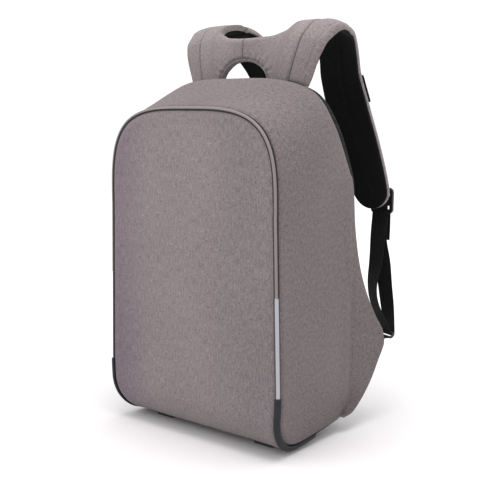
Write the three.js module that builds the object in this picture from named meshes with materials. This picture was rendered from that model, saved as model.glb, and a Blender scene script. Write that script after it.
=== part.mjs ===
import * as THREE from 'three';
import { mergeVertices } from 'three/addons/utils/BufferGeometryUtils.js';

// A standing anti theft backpack. Millimetres, +Z up, the front panel faces -Y.
// While it is being built the front panel lies at y = 0 and the floor at z = 0;
// the finished group is moved along Y so that its box is centred on the origin.

// Body
const BODY_WIDTH = 301;
const TOP_TAPER = 11;
const BACK_TAPER = 17;
const FRONT_HEIGHT = 441;
const BACK_HEIGHT = 476;
const FRONT_ARCH = 136;
const BACK_ARCH = 130;
const BODY_DEPTH = 173;
const TOP_DEPTH = 106;
const BOTTOM_DEPTH = 150;
const WIDEST_HEIGHT = 92;
const FLOOR_CLEARANCE = 4.5;
const BOTTOM_ROLL = 55;
const BOTTOM_LIFT = 11;
const CORNER_TUCK = 10.5;
const REAR_ROLL = 24;
const TUCK_HEIGHT = 80;
const CLOTH = 3;
const FRONT_PAD = 6;
const SIDE_BULGE = 2.5;
const TOP_BULGE = 9;
const FRONT_CROWN = 4;

// Wings that run back from the sides to the shoulder straps
const WING_REACH = 62;
const WING_HEIGHT = 118;
const WING_FLARE = 15;
const WING_THICKNESS = 5;

// Edge trim round the front
const TRIM_RADIUS = 6;
const TRIM_PROUD = 0.5;
const STRIP_LOW = 86;
const STRIP_HIGH = 211;
const GUARD_END = 96;

// Back panel and its zip
const PANEL_SEAT = 4;
const PANEL_PROUD = 13;
const PANEL_PAD = 6;
const PANEL_CORE = 9;
const ZIP_INSET = 9;
const ZIP_WIDTH = 5;
const ZIP_HEIGHT = 2;

// Feet
const FOOT_LENGTH = 34;
const FOOT_WIDTH = 24;
const FOOT_SPREAD = 180;
const FRONT_FOOT_SETBACK = 46;
const REAR_FOOT_SETBACK = 122;

// Yoke, shoulder straps and handle gap
const STRAP_WIDTH = 70;
const STRAP_SPREAD = 100;
const STRAP_PAD = 9.7;
const LINING = 3;
const STRAP_RISE = 86.5;
const HARNESS_ROOT = 13;
const ROOT_SETBACK = 4;
const STRAP_LEAN = 65.5;
const STRAP_ROLL = 10;
const STRAP_DROP = 255;
const STRAP_SETBACK = 92;
const BRIDGE_LEAN = 0.2;
const HANDLE_GAP_HEIGHT = 27;
const BAND_HEIGHT = 38;
const BAND_PLACE = 106;
const BAND_THICKNESS = 2;

// Strap adjusters, webbing and rings
const WEBBING_WIDTH = 25;
const WEBBING_THICKNESS = 1.6;
const WEBBING_BOW = 15;
const TAIL_LENGTH = 38;
const LOCK_HEIGHT = 38;
const LOCK_BORDER = 5;
const LOCK_THICKNESS = 4;
const LOCK_SLOT = 7;
const LOCK_OFFSET = 8;
const LOCK_DROP = 8;
const RING_BAR = 3.5;
const RING_HEIGHT = 7.5;
const RING_STANDOFF = 18;
const RING_TURN = -20;

// Gap that touching pieces keep
const SEAM_GAP = 0.3;

const FRONT_SQUARENESS = 3.5;
const BACK_SQUARENESS = 4;

// Back line of the body above the wings: height over the arch base as a share
// of BACK_ARCH, and how far the line has come forward from BODY_DEPTH towards
// TOP_DEPTH.
const BACK_LINE = [
  { at: -0.45, forward: 0.0 },
  { at: -0.2, forward: 0.0 },
  { at: 0.0, forward: 0.07 },
  { at: 0.2, forward: 0.27 },
  { at: 0.45, forward: 0.52 },
  { at: 0.64, forward: 0.7 },
  { at: 0.78, forward: 0.78 },
  { at: 0.89, forward: 0.82 },
  { at: 0.95, forward: 0.91 },
  { at: 1.0, forward: 1.0 },
];

// Rear edge of a side and its wing, from the bottom seam up to the arch. at runs
// along the front edge of the same side, back is a share of WING_REACH behind the
// body, out of WING_FLARE beside it, up of WING_HEIGHT, and rise a share of what is
// left to the arch.
const WING_LINE = [
  { at: 0.0, back: -0.36, out: 0.3, up: 0.19, rise: 0.0 },
  { at: 0.07, back: -0.09, out: 0.45, up: 0.22, rise: 0.0 },
  { at: 0.16, back: 0.24, out: 0.53, up: 0.34, rise: 0.0 },
  { at: 0.26, back: 0.57, out: 0.66, up: 0.53, rise: 0.0 },
  { at: 0.35, back: 0.84, out: 0.76, up: 0.75, rise: 0.0 },
  { at: 0.42, back: 1.0, out: 0.92, up: 0.93, rise: 0.0 },
  { at: 0.47, back: 0.96, out: 0.8, up: 1.0, rise: 0.06 },
  { at: 0.53, back: 0.7, out: 0.68, up: 1.0, rise: 0.155 },
  { at: 0.61, back: 0.4, out: 0.44, up: 1.0, rise: 0.31 },
  { at: 0.69, back: 0.2, out: 0.28, up: 1.0, rise: 0.465 },
  { at: 0.79, back: 0.08, out: 0.13, up: 1.0, rise: 0.64 },
  { at: 0.89, back: 0.02, out: 0.03, up: 1.0, rise: 0.82 },
  { at: 1.0, back: 0.0, out: 0.0, up: 1.0, rise: 1.0 },
];

// Course of the straps seen from the side: up from the top seam to the shoulder,
// then down to the padded end.
const RISE_LINE = [
  { back: 0.0, up: 0.0 },
  { back: 0.02, up: 0.2 },
  { back: 0.065, up: 0.43 },
  { back: 0.13, up: 0.6 },
  { back: 0.22, up: 0.757 },
  { back: 0.42, up: 0.9 },
  { back: 0.6, up: 0.965 },
  { back: 1.0, up: 1.0 },
];
const FALL_LINE = [
  { back: 0.23, down: 0.014 },
  { back: 0.38, down: 0.045 },
  { back: 0.55, down: 0.11 },
  { back: 0.68, down: 0.186 },
  { back: 0.79, down: 0.265 },
  { back: 0.87, down: 0.35 },
  { back: 0.91, down: 0.42 },
  { back: 0.965, down: 0.614 },
  { back: 1.0, down: 0.82 },
  { back: 1.0, down: 1.0 },
];

// Strap seen from the front. at is 0 at the top seam, 1 at the shoulder and 2 at
// the end; centre and seam are shares of STRAP_SPREAD, width of STRAP_WIDTH, and
// roll is how far the outer edge lies under the strap's middle line, of STRAP_ROLL.
const STRAP_LINE = [
  { at: 0.0, centre: 0.645, width: 0.91, seam: 0.72, roll: 0.0 },
  { at: 0.3, centre: 0.79, width: 0.96, seam: 0.82, roll: 0.3 },
  { at: 0.5, centre: 0.86, width: 1.0, seam: 0.875, roll: 0.7 },
  { at: 0.65, centre: 0.9, width: 1.0, seam: 0.9, roll: 0.85 },
  { at: 0.82, centre: 0.955, width: 1.0, seam: 0.875, roll: 0.7 },
  { at: 0.94, centre: 0.945, width: 1.0, seam: 0.85, roll: 1.0 },
  { at: 1.04, centre: 0.905, width: 0.97, seam: 0.82, roll: 1.3 },
  { at: 1.15, centre: 0.805, width: 0.98, seam: 0.8, roll: 1.1 },
  { at: 1.26, centre: 0.71, width: 0.95, seam: 0.8, roll: 0.5 },
  { at: 1.36, centre: 0.65, width: 0.96, seam: 0.8, roll: 0.2 },
  { at: 1.5, centre: 0.69, width: 1.0, seam: 0.8, roll: 0.0 },
  { at: 1.67, centre: 0.83, width: 1.0, seam: 0.8, roll: 0.0 },
  { at: 1.85, centre: 1.0, width: 0.9, seam: 0.8, roll: 0.0 },
  { at: 1.94, centre: 1.07, width: 0.84, seam: 0.8, roll: 0.0 },
  { at: 2.0, centre: 1.09, width: 0.82, seam: 0.8, roll: 0.0 },
];

// Yoke between the straps, from its middle out to the strap seam. across is a
// share of the seam's distance, low a share of HANDLE_GAP_HEIGHT and high a share
// of the strap's way up to the shoulder.
const YOKE_LINE = [
  { across: 0.0, low: 1.0, high: 0.56 },
  { across: 0.12, low: 0.97, high: 0.56 },
  { across: 0.24, low: 0.86, high: 0.565 },
  { across: 0.36, low: 0.64, high: 0.57 },
  { across: 0.46, low: 0.36, high: 0.58 },
  { across: 0.51, low: 0.12, high: 0.595 },
  { across: 0.54, low: 0.0, high: 0.605 },
  { across: 0.62, low: 0.0, high: 0.635 },
  { across: 0.68, low: 0.0, high: 0.69 },
  { across: 0.73, low: 0.0, high: 0.88 },
  { across: 0.77, low: 0.0, high: 1.04 },
  { across: 0.88, low: 0.0, high: 1.04 },
  { across: 1.0, low: 0.0, high: 1.04 },
];

// The two strands of webbing between adjuster and ring. down is the share of that
// way, out and back are shares of WEBBING_BOW, turn is the twist in degrees.
const FRONT_STRAND = [
  { down: 0.0, out: 0.0, back: 0.0, turn: 0 },
  { down: 0.2, out: -0.4, back: -0.05, turn: -2 },
  { down: 0.42, out: -0.58, back: -0.3, turn: -8 },
  { down: 0.6, out: -0.95, back: -0.75, turn: -28 },
  { down: 0.75, out: -0.75, back: -0.95, turn: -31 },
  { down: 0.9, out: -0.1, back: -0.7, turn: -24 },
];
const REAR_STRAND = [
  { down: 0.9, out: -0.2, back: 0.65, turn: -16 },
  { down: 0.78, out: -0.4, back: 0.9, turn: -8 },
  { down: 0.6, out: -0.25, back: 0.45, turn: -4 },
  { down: 0.42, out: -0.25, back: 0.42, turn: 0 },
  { down: 0.22, out: -0.6, back: 0.35, turn: 0 },
];

const UP = new THREE.Vector3(0, 0, 1);
const DOWN = new THREE.Vector3(0, 0, -1);
const FRONT = new THREE.Vector3(0, -1, 0);
const RIGHT = new THREE.Vector3(1, 0, 0);

const point = (x, y, z) => new THREE.Vector3(x, y, z);
const between = THREE.MathUtils.lerp;
const ease = THREE.MathUtils.smoothstep;
const range = (count, make) => Array.from({ length: count }, (_, index) => make(index));

const finish = (color, roughness, metalness = 0) =>
  new THREE.MeshStandardMaterial({ color, roughness, metalness });
const greyCloth = finish(0x7d7676, 0.9);
const blackMesh = finish(0x141414, 0.95);
const reflective = finish(0xb9b8c2, 0.35);
const rubber = finish(0x33363c, 0.5);
const blackWeb = finish(0x101010, 0.8);
const blackPlastic = finish(0x0d0d0d, 0.3);

const backpack = new THREE.Group();

// Reads one column of a table at a place along it, on a smooth line through the rows.
function readTable(table, along, column) {
  const last = table.length - 1;
  let row = 0;
  while (row < last - 1 && along > table[row + 1].at) {
    row += 1;
  }
  const here = table[row];
  const next = table[row + 1];
  const before = table[Math.max(row - 1, 0)];
  const after = table[Math.min(row + 2, last)];
  const span = next.at - here.at;
  const t = THREE.MathUtils.clamp((along - here.at) / span, 0, 1);
  const startSlope = ((next[column] - before[column]) / (next.at - before.at)) * span;
  const endSlope = ((after[column] - here[column]) / (after.at - here.at)) * span;
  const rest = 1 - t;
  return (
    here[column] * (1 + 2 * t) * rest * rest +
    startSlope * t * rest * rest +
    next[column] * t * t * (3 - 2 * t) -
    endSlope * t * t * rest
  );
}

// Turns loose triangles into one closed body with its faces outwards.
function addBody(name, corners, triangles, material) {
  const loose = new THREE.BufferGeometry();
  const flat = corners.flatMap((corner) => [corner.x, corner.y, corner.z]);
  loose.setAttribute('position', new THREE.Float32BufferAttribute(flat, 3));
  loose.setIndex(triangles.flat());
  const merged = mergeVertices(loose, 1e-4);
  const index = merged.getIndex();
  const place = merged.getAttribute('position');
  const at = (i) => new THREE.Vector3().fromBufferAttribute(place, i);
  const kept = [];
  let volume = 0;
  for (let i = 0; i < index.count; i += 3) {
    const [a, b, c] = [index.getX(i), index.getX(i + 1), index.getX(i + 2)];
    if (a !== b && b !== c && c !== a) {
      kept.push([a, b, c]);
      volume += at(a).dot(at(b).cross(at(c)));
    }
  }
  const outward = volume > 0 ? kept : kept.map(([a, b, c]) => [a, c, b]);
  merged.setIndex(outward.flat());
  merged.computeVertexNormals();
  const mesh = new THREE.Mesh(merged, material);
  mesh.name = name;
  backpack.add(mesh);
  return mesh;
}

// A cloth-like body between two grids of points with the same rows and columns.
function addSlab(name, outside, inside, material) {
  const rows = outside.length;
  const columns = outside[0].length;
  const corners = [...outside.flat(), ...inside.flat()];
  const outer = (row, column) => row * columns + column;
  const inner = (row, column) => rows * columns + outer(row, column);
  const triangles = [];
  const quad = (a, b, c, d) => triangles.push([a, b, c], [a, c, d]);
  for (let row = 0; row < rows - 1; row += 1) {
    for (let column = 0; column < columns - 1; column += 1) {
      quad(outer(row, column), outer(row, column + 1), outer(row + 1, column + 1), outer(row + 1, column));
      quad(inner(row, column), inner(row + 1, column), inner(row + 1, column + 1), inner(row, column + 1));
    }
    quad(outer(row, 0), outer(row + 1, 0), inner(row + 1, 0), inner(row, 0));
    quad(
      outer(row + 1, columns - 1),
      outer(row, columns - 1),
      inner(row, columns - 1),
      inner(row + 1, columns - 1),
    );
  }
  for (let column = 0; column < columns - 1; column += 1) {
    quad(outer(0, column + 1), outer(0, column), inner(0, column), inner(0, column + 1));
    quad(
      outer(rows - 1, column),
      outer(rows - 1, column + 1),
      inner(rows - 1, column + 1),
      inner(rows - 1, column),
    );
  }
  return addBody(name, corners, triangles, material);
}

// A body through a run of closed outlines, closed at both ends or joined to a ring.
function addLoft(name, outlines, material, ring = false) {
  const rows = outlines.length;
  const size = outlines[0].length;
  const corners = outlines.flat();
  const triangles = [];
  const steps = ring ? rows : rows - 1;
  for (let row = 0; row < steps; row += 1) {
    const next = (row + 1) % rows;
    for (let side = 0; side < size; side += 1) {
      const other = (side + 1) % size;
      const a = row * size + side;
      const b = row * size + other;
      const c = next * size + other;
      const d = next * size + side;
      triangles.push([a, b, c], [a, c, d]);
    }
  }
  if (!ring) {
    for (let side = 1; side < size - 1; side += 1) {
      const end = (rows - 1) * size;
      triangles.push([0, side + 1, side], [end, end + side, end + side + 1]);
    }
  }
  return addBody(name, corners, triangles, material);
}

const mirrored = (p) => point(-p.x, p.y, p.z);

const BOTTOM = FLOOR_CLEARANCE;
const TOP_WIDTH = BODY_WIDTH - TOP_TAPER;
const BACK_WIDTH = BODY_WIDTH - BACK_TAPER;
const FRONT_ARCH_BASE = FRONT_HEIGHT - FRONT_ARCH;
const BACK_ARCH_BASE = BACK_HEIGHT - BACK_ARCH;

// Tuck of the lower corners towards the middle.
const tuckAt = (z) => CORNER_TUCK * Math.pow(Math.max(0, (BOTTOM + TUCK_HEIGHT - z) / TUCK_HEIGHT), 2);

// Half the width across the front edge, and across the crease at the back.
function frontHalfWidth(z) {
  const share = THREE.MathUtils.clamp((z - WIDEST_HEIGHT) / (FRONT_ARCH_BASE - WIDEST_HEIGHT), 0, 1);
  return between(BODY_WIDTH, TOP_WIDTH, share) / 2 - tuckAt(z);
}
const backHalfWidth = (z) => BACK_WIDTH / 2 - 0.7 * tuckAt(z);

// Depth of the back line at a height.
function backDepth(z) {
  const share = (z - BACK_ARCH_BASE) / BACK_ARCH;
  const forward = readTable(BACK_LINE, THREE.MathUtils.clamp(share, -0.45, 1), 'forward');
  return between(BODY_DEPTH, TOP_DEPTH, forward);
}

// A rounded arch over a straight base, with the way that it faces.
function archPoint(halfWidth, base, height, squareness, angle) {
  const x = halfWidth * Math.pow(Math.cos(angle), 2 / squareness);
  const rise = height * Math.pow(Math.sin(angle), 2 / squareness);
  const facing = point(
    Math.pow(x / halfWidth, squareness - 1) / halfWidth,
    0,
    Math.pow(rise / height, squareness - 1) / height,
  ).normalize();
  return { x, z: base + rise, facing };
}

// Underside of the body, rolled up to the front and lifted at its rear corners.
function undersideHeight(x, y) {
  const back = THREE.MathUtils.clamp((y - BOTTOM_ROLL) / (BOTTOM_DEPTH - BOTTOM_ROLL), 0, 1);
  const out = Math.min(1, Math.abs(x) / (frontHalfWidth(BOTTOM) - TRIM_RADIUS - SEAM_GAP));
  const front = THREE.MathUtils.clamp(BOTTOM_ROLL - y, 0, BOTTOM_ROLL);
  const rolled = BOTTOM_ROLL - Math.sqrt(BOTTOM_ROLL * BOTTOM_ROLL - front * front);
  return BOTTOM + rolled + BOTTOM_LIFT * Math.pow(back, 1.25) * Math.pow(out, 6);
}

// The front edge of the right side as a fine line: forward along the bottom, round
// the rolled corner, up the side and over the arch to the middle. Each place knows
// its corner point, its sideways direction and the direction that the front faces.
function traceFrontEdge() {
  const line = [];
  const lay = (corner, side, face) => line.push({ corner, side, face });
  const fine = 40;
  for (let i = 0; i < fine; i += 1) {
    const y = between(BOTTOM_DEPTH, BOTTOM_ROLL, i / fine);
    const x = frontHalfWidth(BOTTOM);
    lay(point(x, y, undersideHeight(x, y)), RIGHT, DOWN);
  }
  for (let i = 0; i < fine; i += 1) {
    const turn = (Math.PI / 2) * (i / fine);
    const face = point(0, -Math.sin(turn), -Math.cos(turn));
    const z = BOTTOM + BOTTOM_ROLL * (1 - Math.cos(turn));
    const y = BOTTOM_ROLL * (1 - Math.sin(turn));
    lay(point(frontHalfWidth(z), y, z), RIGHT, face);
  }
  for (let i = 0; i < fine; i += 1) {
    const z = between(BOTTOM + BOTTOM_ROLL, FRONT_ARCH_BASE, i / fine);
    lay(point(frontHalfWidth(z), 0, z), RIGHT, FRONT);
  }
  const archSteps = 6 * fine;
  for (let i = 0; i <= archSteps; i += 1) {
    const angle = (Math.PI / 2) * Math.pow(i / archSteps, 1.5);
    const spot = archPoint(TOP_WIDTH / 2, FRONT_ARCH_BASE, FRONT_ARCH, FRONT_SQUARENESS, angle);
    lay(point(i === archSteps ? 0 : spot.x, 0, spot.z), i === archSteps ? UP : spot.facing, FRONT);
  }
  let length = 0;
  line.forEach((place, i) => {
    length += i === 0 ? 0 : place.corner.distanceTo(line[i - 1].corner);
    place.length = length;
  });
  return line;
}
const frontEdge = traceFrontEdge();
const frontEdgeLength = frontEdge.at(-1).length;

function frontEdgeAt(length) {
  let i = 1;
  while (i < frontEdge.length - 1 && frontEdge[i].length < length) {
    i += 1;
  }
  const before = frontEdge[i - 1];
  const after = frontEdge[i];
  const share = THREE.MathUtils.clamp((length - before.length) / (after.length - before.length), 0, 1);
  return {
    corner: before.corner.clone().lerp(after.corner, share),
    side: before.side.clone().lerp(after.side, share).normalize(),
    face: before.face.clone().lerp(after.face, share).normalize(),
  };
}
const lengthWhere = (test) => frontEdge.find(test).length;
const archStart = lengthWhere((place) => place.corner.z >= FRONT_ARCH_BASE - 1e-6 && place.face === FRONT);
const cornerEnd = lengthWhere((place) => place.face === FRONT);
const cornerStart = lengthWhere((place) => place.corner.y <= BOTTOM_ROLL + 1e-6);
const lengthAtHeight = (z) => lengthWhere((place) => place.face === FRONT && place.corner.z >= z);
const lengthAtDepth = (y) => lengthWhere((place) => place.corner.y <= y);

const stripLow = lengthAtHeight(STRIP_LOW);
const stripHigh = lengthAtHeight(STRIP_HIGH);
const guardEnd = lengthAtDepth(GUARD_END);

// Places along the front edge where every piece on it has a section, so that
// neighbours bend alike: closer together where the edge turns.
const STRETCHES = [
  { end: guardEnd, step: 18 },
  { end: cornerStart, step: 19 },
  { end: cornerEnd, step: 10 },
  { end: stripLow, step: 12 },
  { end: stripHigh, step: 40 },
  { end: archStart, step: 47 },
  { end: frontEdgeLength, step: 17 },
];
const edgePlaces = [0];
STRETCHES.forEach(({ end, step }) => {
  const start = edgePlaces.at(-1);
  const parts = Math.max(1, Math.round((end - start) / step));
  for (let part = 1; part <= parts; part += 1) {
    edgePlaces.push(between(start, end, part / parts));
  }
});
const placesBetween = (start, end) => {
  const inside = edgePlaces.filter((at) => at > start + 1 && at < end - 1);
  return [start, ...inside, end];
};

// A place off the front edge: inward from the side and inward from the face.
function inFromEdge(place, fromSide, fromFace) {
  return place.corner.clone().addScaledVector(place.side, -fromSide).addScaledVector(place.face, -fromFace);
}

// Edge trim: a quarter-round bead that fills the corner between front and side.
function trimOutline(length, radius) {
  const place = frontEdgeAt(length);
  const heel = inFromEdge(place, TRIM_RADIUS, TRIM_RADIUS);
  const bend = range(5, (i) => {
    const angle = (Math.PI / 2) * (i / 4);
    return heel
      .clone()
      .addScaledVector(place.side, radius * Math.cos(angle))
      .addScaledVector(place.face, radius * Math.sin(angle));
  });
  return [heel, ...bend];
}
function addTrim(name, start, end, material, radius = TRIM_RADIUS) {
  const outlines = placesBetween(start, end).map((length) => trimOutline(length, radius));
  ['right', 'left'].forEach((side) => {
    const sided = side === 'right' ? outlines : outlines.map((outline) => outline.map(mirrored));
    addLoft(`${name}_${side}`, sided, material);
  });
}
addTrim('rear_piping', 0, guardEnd - SEAM_GAP, greyCloth, TRIM_RADIUS - 1);
addTrim('corner_guard', guardEnd, stripLow - SEAM_GAP, rubber);
addTrim('reflective_strip', stripLow, stripHigh - SEAM_GAP, reflective);
const archHalf = placesBetween(stripHigh, frontEdgeLength).map((length) => trimOutline(length, TRIM_RADIUS));
const archOther = archHalf.slice(0, -1).reverse().map((outline) => outline.map(mirrored));
addLoft('arch_trim', [...archHalf, ...archOther], greyCloth);

// Front panel: one cloth panel down the front, round the rolled edge and back
// under the body to the bottom seam.
function frontPanelRow(length, columns, depth) {
  const edge = inFromEdge(frontEdgeAt(length), TRIM_RADIUS + SEAM_GAP, depth);
  const face = frontEdgeAt(length).face;
  const top = FRONT_HEIGHT - TRIM_RADIUS - SEAM_GAP;
  const fromBottom = ease(edge.z, BOTTOM + BOTTOM_ROLL, FRONT_HEIGHT / 2);
  const height = fromBottom * ease(top - edge.z, 0, FRONT_ARCH * 0.5);
  return range(columns, (i) => {
    const out = -1 + (2 * i) / (columns - 1);
    const crown = FRONT_CROWN * height * Math.cos((Math.PI / 2) * out);
    const underside = edge.y > BOTTOM_ROLL && face.y > -0.01;
    const lift = underside ? undersideHeight(out * edge.x, edge.y) - undersideHeight(edge.x, edge.y) : 0;
    return point(out * edge.x, edge.y - crown, edge.z + lift);
  });
}
addSlab(
  'front_panel',
  edgePlaces.map((length) => frontPanelRow(length, 11, TRIM_PROUD)),
  edgePlaces.map((length) => frontPanelRow(length, 11, TRIM_PROUD + FRONT_PAD)),
  greyCloth,
);

// Rear edge of the sides and the top, matched to a length along the front edge.
function rearEdgeAt(length) {
  if (length <= archStart) {
    const along = length / archStart;
    const back = readTable(WING_LINE, along, 'back');
    const rise = readTable(WING_LINE, along, 'rise');
    const up = Math.min(1, readTable(WING_LINE, along, 'up')) * WING_HEIGHT;
    const z = between(up, BACK_ARCH_BASE, Math.max(0, rise));
    const y = back >= 0 ? backDepth(z) + back * WING_REACH : BODY_DEPTH + back * WING_REACH;
    const flare = WING_FLARE * readTable(WING_LINE, along, 'out');
    return { corner: point(BACK_WIDTH / 2 + flare, y, z), side: RIGHT };
  }
  const share = (length - archStart) / (frontEdgeLength - archStart);
  if (share >= 1) {
    return { corner: point(0, TOP_DEPTH, BACK_HEIGHT), side: UP };
  }
  const angle = (Math.PI / 2) * Math.pow(share, 1.6);
  const spot = archPoint(BACK_WIDTH / 2, BACK_ARCH_BASE, BACK_ARCH, BACK_SQUARENESS, angle);
  return { corner: point(spot.x, backDepth(spot.z), spot.z), side: spot.facing };
}

// One row of the side and top wall, from the trim back to the rear edge. The cloth
// swells a little between both, and on the wings it has a crease where it leaves
// the body.
const FRONT_COLUMNS = 6;
const WING_COLUMNS = 3;
function wallRow(length, depth) {
  const place = frontEdgeAt(length);
  const start = inFromEdge(place, TRIM_PROUD, TRIM_RADIUS + SEAM_GAP);
  const rear = rearEdgeAt(length);
  const run = rear.corner.y - start.y;
  const creaseShare = Math.min(0.85, (BODY_DEPTH - start.y) / run);
  const crease = start.clone().lerp(rear.corner, creaseShare);
  const archShare = ease(length, archStart, frontEdgeLength);
  if (length <= archStart) {
    crease.x = Math.min(crease.x, backHalfWidth(crease.z));
  }
  const out = place.side.clone().lerp(rear.side, 0.5).normalize();
  const bulge = between(SIDE_BULGE, TOP_BULGE, archShare);
  const skew = between(1, 1.6, archShare);
  const full = archShare > 0 ? 1 : creaseShare;
  const row = [];
  for (let i = 0; i < FRONT_COLUMNS; i += 1) {
    const share = (i / (FRONT_COLUMNS - 1)) * creaseShare;
    const base = start.clone().lerp(crease, i / (FRONT_COLUMNS - 1));
    const swell = bulge * Math.sin(Math.PI * Math.pow(Math.min(1, share / full), skew));
    row.push(base.addScaledVector(out, swell - depth));
  }
  for (let i = 1; i <= WING_COLUMNS; i += 1) {
    const along = i / WING_COLUMNS;
    const share = between(creaseShare, 1, along);
    const base = crease.clone().lerp(rear.corner, along);
    const swell = archShare > 0 ? bulge * Math.sin(Math.PI * Math.pow(share, skew)) : 0;
    const wing = ease(rear.corner.y - BODY_DEPTH, 2, WING_REACH * 0.5) * ease(along, 0, 0.6);
    const wall = depth > 0 ? between(depth, WING_THICKNESS, wing) : 0;
    row.push(base.addScaledVector(out, swell - wall));
  }
  return row;
}
function wallGrid(depth) {
  const half = edgePlaces.map((length) => wallRow(length, depth));
  const other = half.slice(0, -1).reverse().map((row) => row.map(mirrored));
  return [...half, ...other];
}
addSlab('side_and_top_wall', wallGrid(0), wallGrid(CLOTH), greyCloth);

// Outline of the back panel, inside the wall: up the side, then over the arch
// beside the same places as the wall.
const PANEL_BOTTOM = BOTTOM + BOTTOM_LIFT + TRIM_PROUD + FRONT_PAD + SEAM_GAP;
const PANEL_SIDE_ROWS = 13;
const panelPlaces = [
  ...range(PANEL_SIDE_ROWS, (i) => ({ height: between(PANEL_BOTTOM, BACK_ARCH_BASE, i / PANEL_SIDE_ROWS) })),
  ...edgePlaces.filter((at) => at >= archStart).map((at) => ({ along: at })),
];
function panelEdge(place, inset) {
  if (place.along === undefined) {
    const z = place.height;
    return { edge: point(backHalfWidth(z) - inset, 0, z), side: RIGHT };
  }
  const { corner, side } = rearEdgeAt(place.along);
  return { edge: corner.clone().addScaledVector(side, -inset), side };
}
const PANEL_INSET = CLOTH + SEAM_GAP;
const panelRims = panelPlaces.map((place) => panelEdge(place, PANEL_INSET).edge);

// Front and rear of the panel at a height: it stands proud of the body except at
// its foot, which rolls forward to the bottom seam.
function panelFront(z) {
  const roll = THREE.MathUtils.clamp((PANEL_BOTTOM + REAR_ROLL - z) / REAR_ROLL, 0, 1);
  const foot = BODY_DEPTH - BOTTOM_DEPTH - PANEL_SEAT - SEAM_GAP;
  const tucked = foot * (1 - Math.sqrt(1 - roll * roll));
  return backDepth(z) - tucked - PANEL_SEAT;
}
function panelRear(z) {
  const low = ease(z, 0, PANEL_BOTTOM + 2 * REAR_ROLL);
  const high = ease(z, BACK_ARCH_BASE - BACK_ARCH / 2, BACK_ARCH_BASE + BACK_ARCH / 2);
  return panelFront(z) + PANEL_SEAT + PANEL_PROUD * low * between(0.5, 1, high);
}

// Straight-line reading of the rims, the way that the panel's flat faces run.
function panelDepth(z) {
  let i = 1;
  while (i < panelRims.length - 1 && panelRims[i].z < z) {
    i += 1;
  }
  const share = THREE.MathUtils.clamp((z - panelRims[i - 1].z) / (panelRims[i].z - panelRims[i - 1].z), 0, 1);
  return between(panelRear(panelRims[i - 1].z), panelRear(panelRims[i].z), share);
}
// Height of the top of the panel's edge, which the yoke stands on.
function seatHeight(x) {
  let i = panelRims.length - 1;
  while (i > PANEL_SIDE_ROWS + 1 && panelRims[i - 1].x < Math.abs(x)) {
    i -= 1;
  }
  const share = THREE.MathUtils.clamp((Math.abs(x) - panelRims[i].x) / (panelRims[i - 1].x - panelRims[i].x), 0, 1);
  return between(panelRims[i].z, panelRims[i - 1].z, share);
}
const PANEL_FLANGE = ZIP_INSET + 2 * ZIP_WIDTH;
function panelRow(place, rear) {
  const { edge } = panelEdge(place, rear ? PANEL_INSET : PANEL_INSET + PANEL_SEAT / 2);
  const sag = BOTTOM_LIFT * (1 - ease(edge.z, PANEL_BOTTOM, PANEL_BOTTOM + 2 * REAR_ROLL));
  const flange = 1 - Math.min(PANEL_FLANGE / edge.x, 0.3);
  const across = [1, flange, flange * 0.85, flange * 0.55, 0];
  return [...across, ...across.slice(0, -1).reverse().map((out) => -out)].map((out) => {
    const fromSide = edge.x * (1 - Math.abs(out));
    const fromTop = Math.max(0, seatHeight(out * edge.x) - edge.z);
    const fromArch = (fromSide * fromTop) / Math.max(1, Math.hypot(fromSide, fromTop));
    const pad = PANEL_PAD * ease(Math.min(fromArch, edge.z - PANEL_BOTTOM), PANEL_FLANGE, 2.2 * PANEL_FLANGE);
    const hollow = ease(Math.min(fromArch, edge.z - PANEL_BOTTOM), 0, PANEL_FLANGE);
    const core = between(panelFront(edge.z), panelRear(edge.z) + pad - PANEL_CORE, hollow);
    const y = rear ? panelRear(edge.z) + pad : Math.max(panelFront(edge.z), core);
    return point(out * edge.x, y, edge.z - sag * (1 - Math.pow(Math.abs(out), 6)));
  });
}
addSlab(
  'back_panel',
  panelPlaces.map((place) => panelRow(place, false)),
  panelPlaces.map((place) => panelRow(place, true)),
  blackMesh,
);

// Zip of the main compartment, a plain bead up, over and down the back panel.
function zipOutline(place) {
  const { edge, side } = panelEdge(place, PANEL_INSET + ZIP_INSET);
  const across = (offset, height) => {
    const spot = edge.clone().addScaledVector(side, offset);
    return spot.setY(panelDepth(spot.z) + 3 * SEAM_GAP + height);
  };
  const half = ZIP_WIDTH / 2;
  return [across(half, 0), across(half * 0.6, ZIP_HEIGHT), across(-half * 0.6, ZIP_HEIGHT), across(-half, 0)];
}
const zipPlaces = panelPlaces.slice(2).flatMap((place, i, all) => {
  const next = all[i + 1];
  const arched = place.along !== undefined && next !== undefined;
  return arched ? [place, { along: between(place.along, next.along, 0.5) }] : [place];
});
const zipHalf = zipPlaces.map(zipOutline);
const zipOther = zipHalf.slice(0, -1).reverse().map((outline) => outline.map(mirrored));
addLoft('back_zip', [...zipHalf, ...zipOther], blackPlastic);

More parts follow.
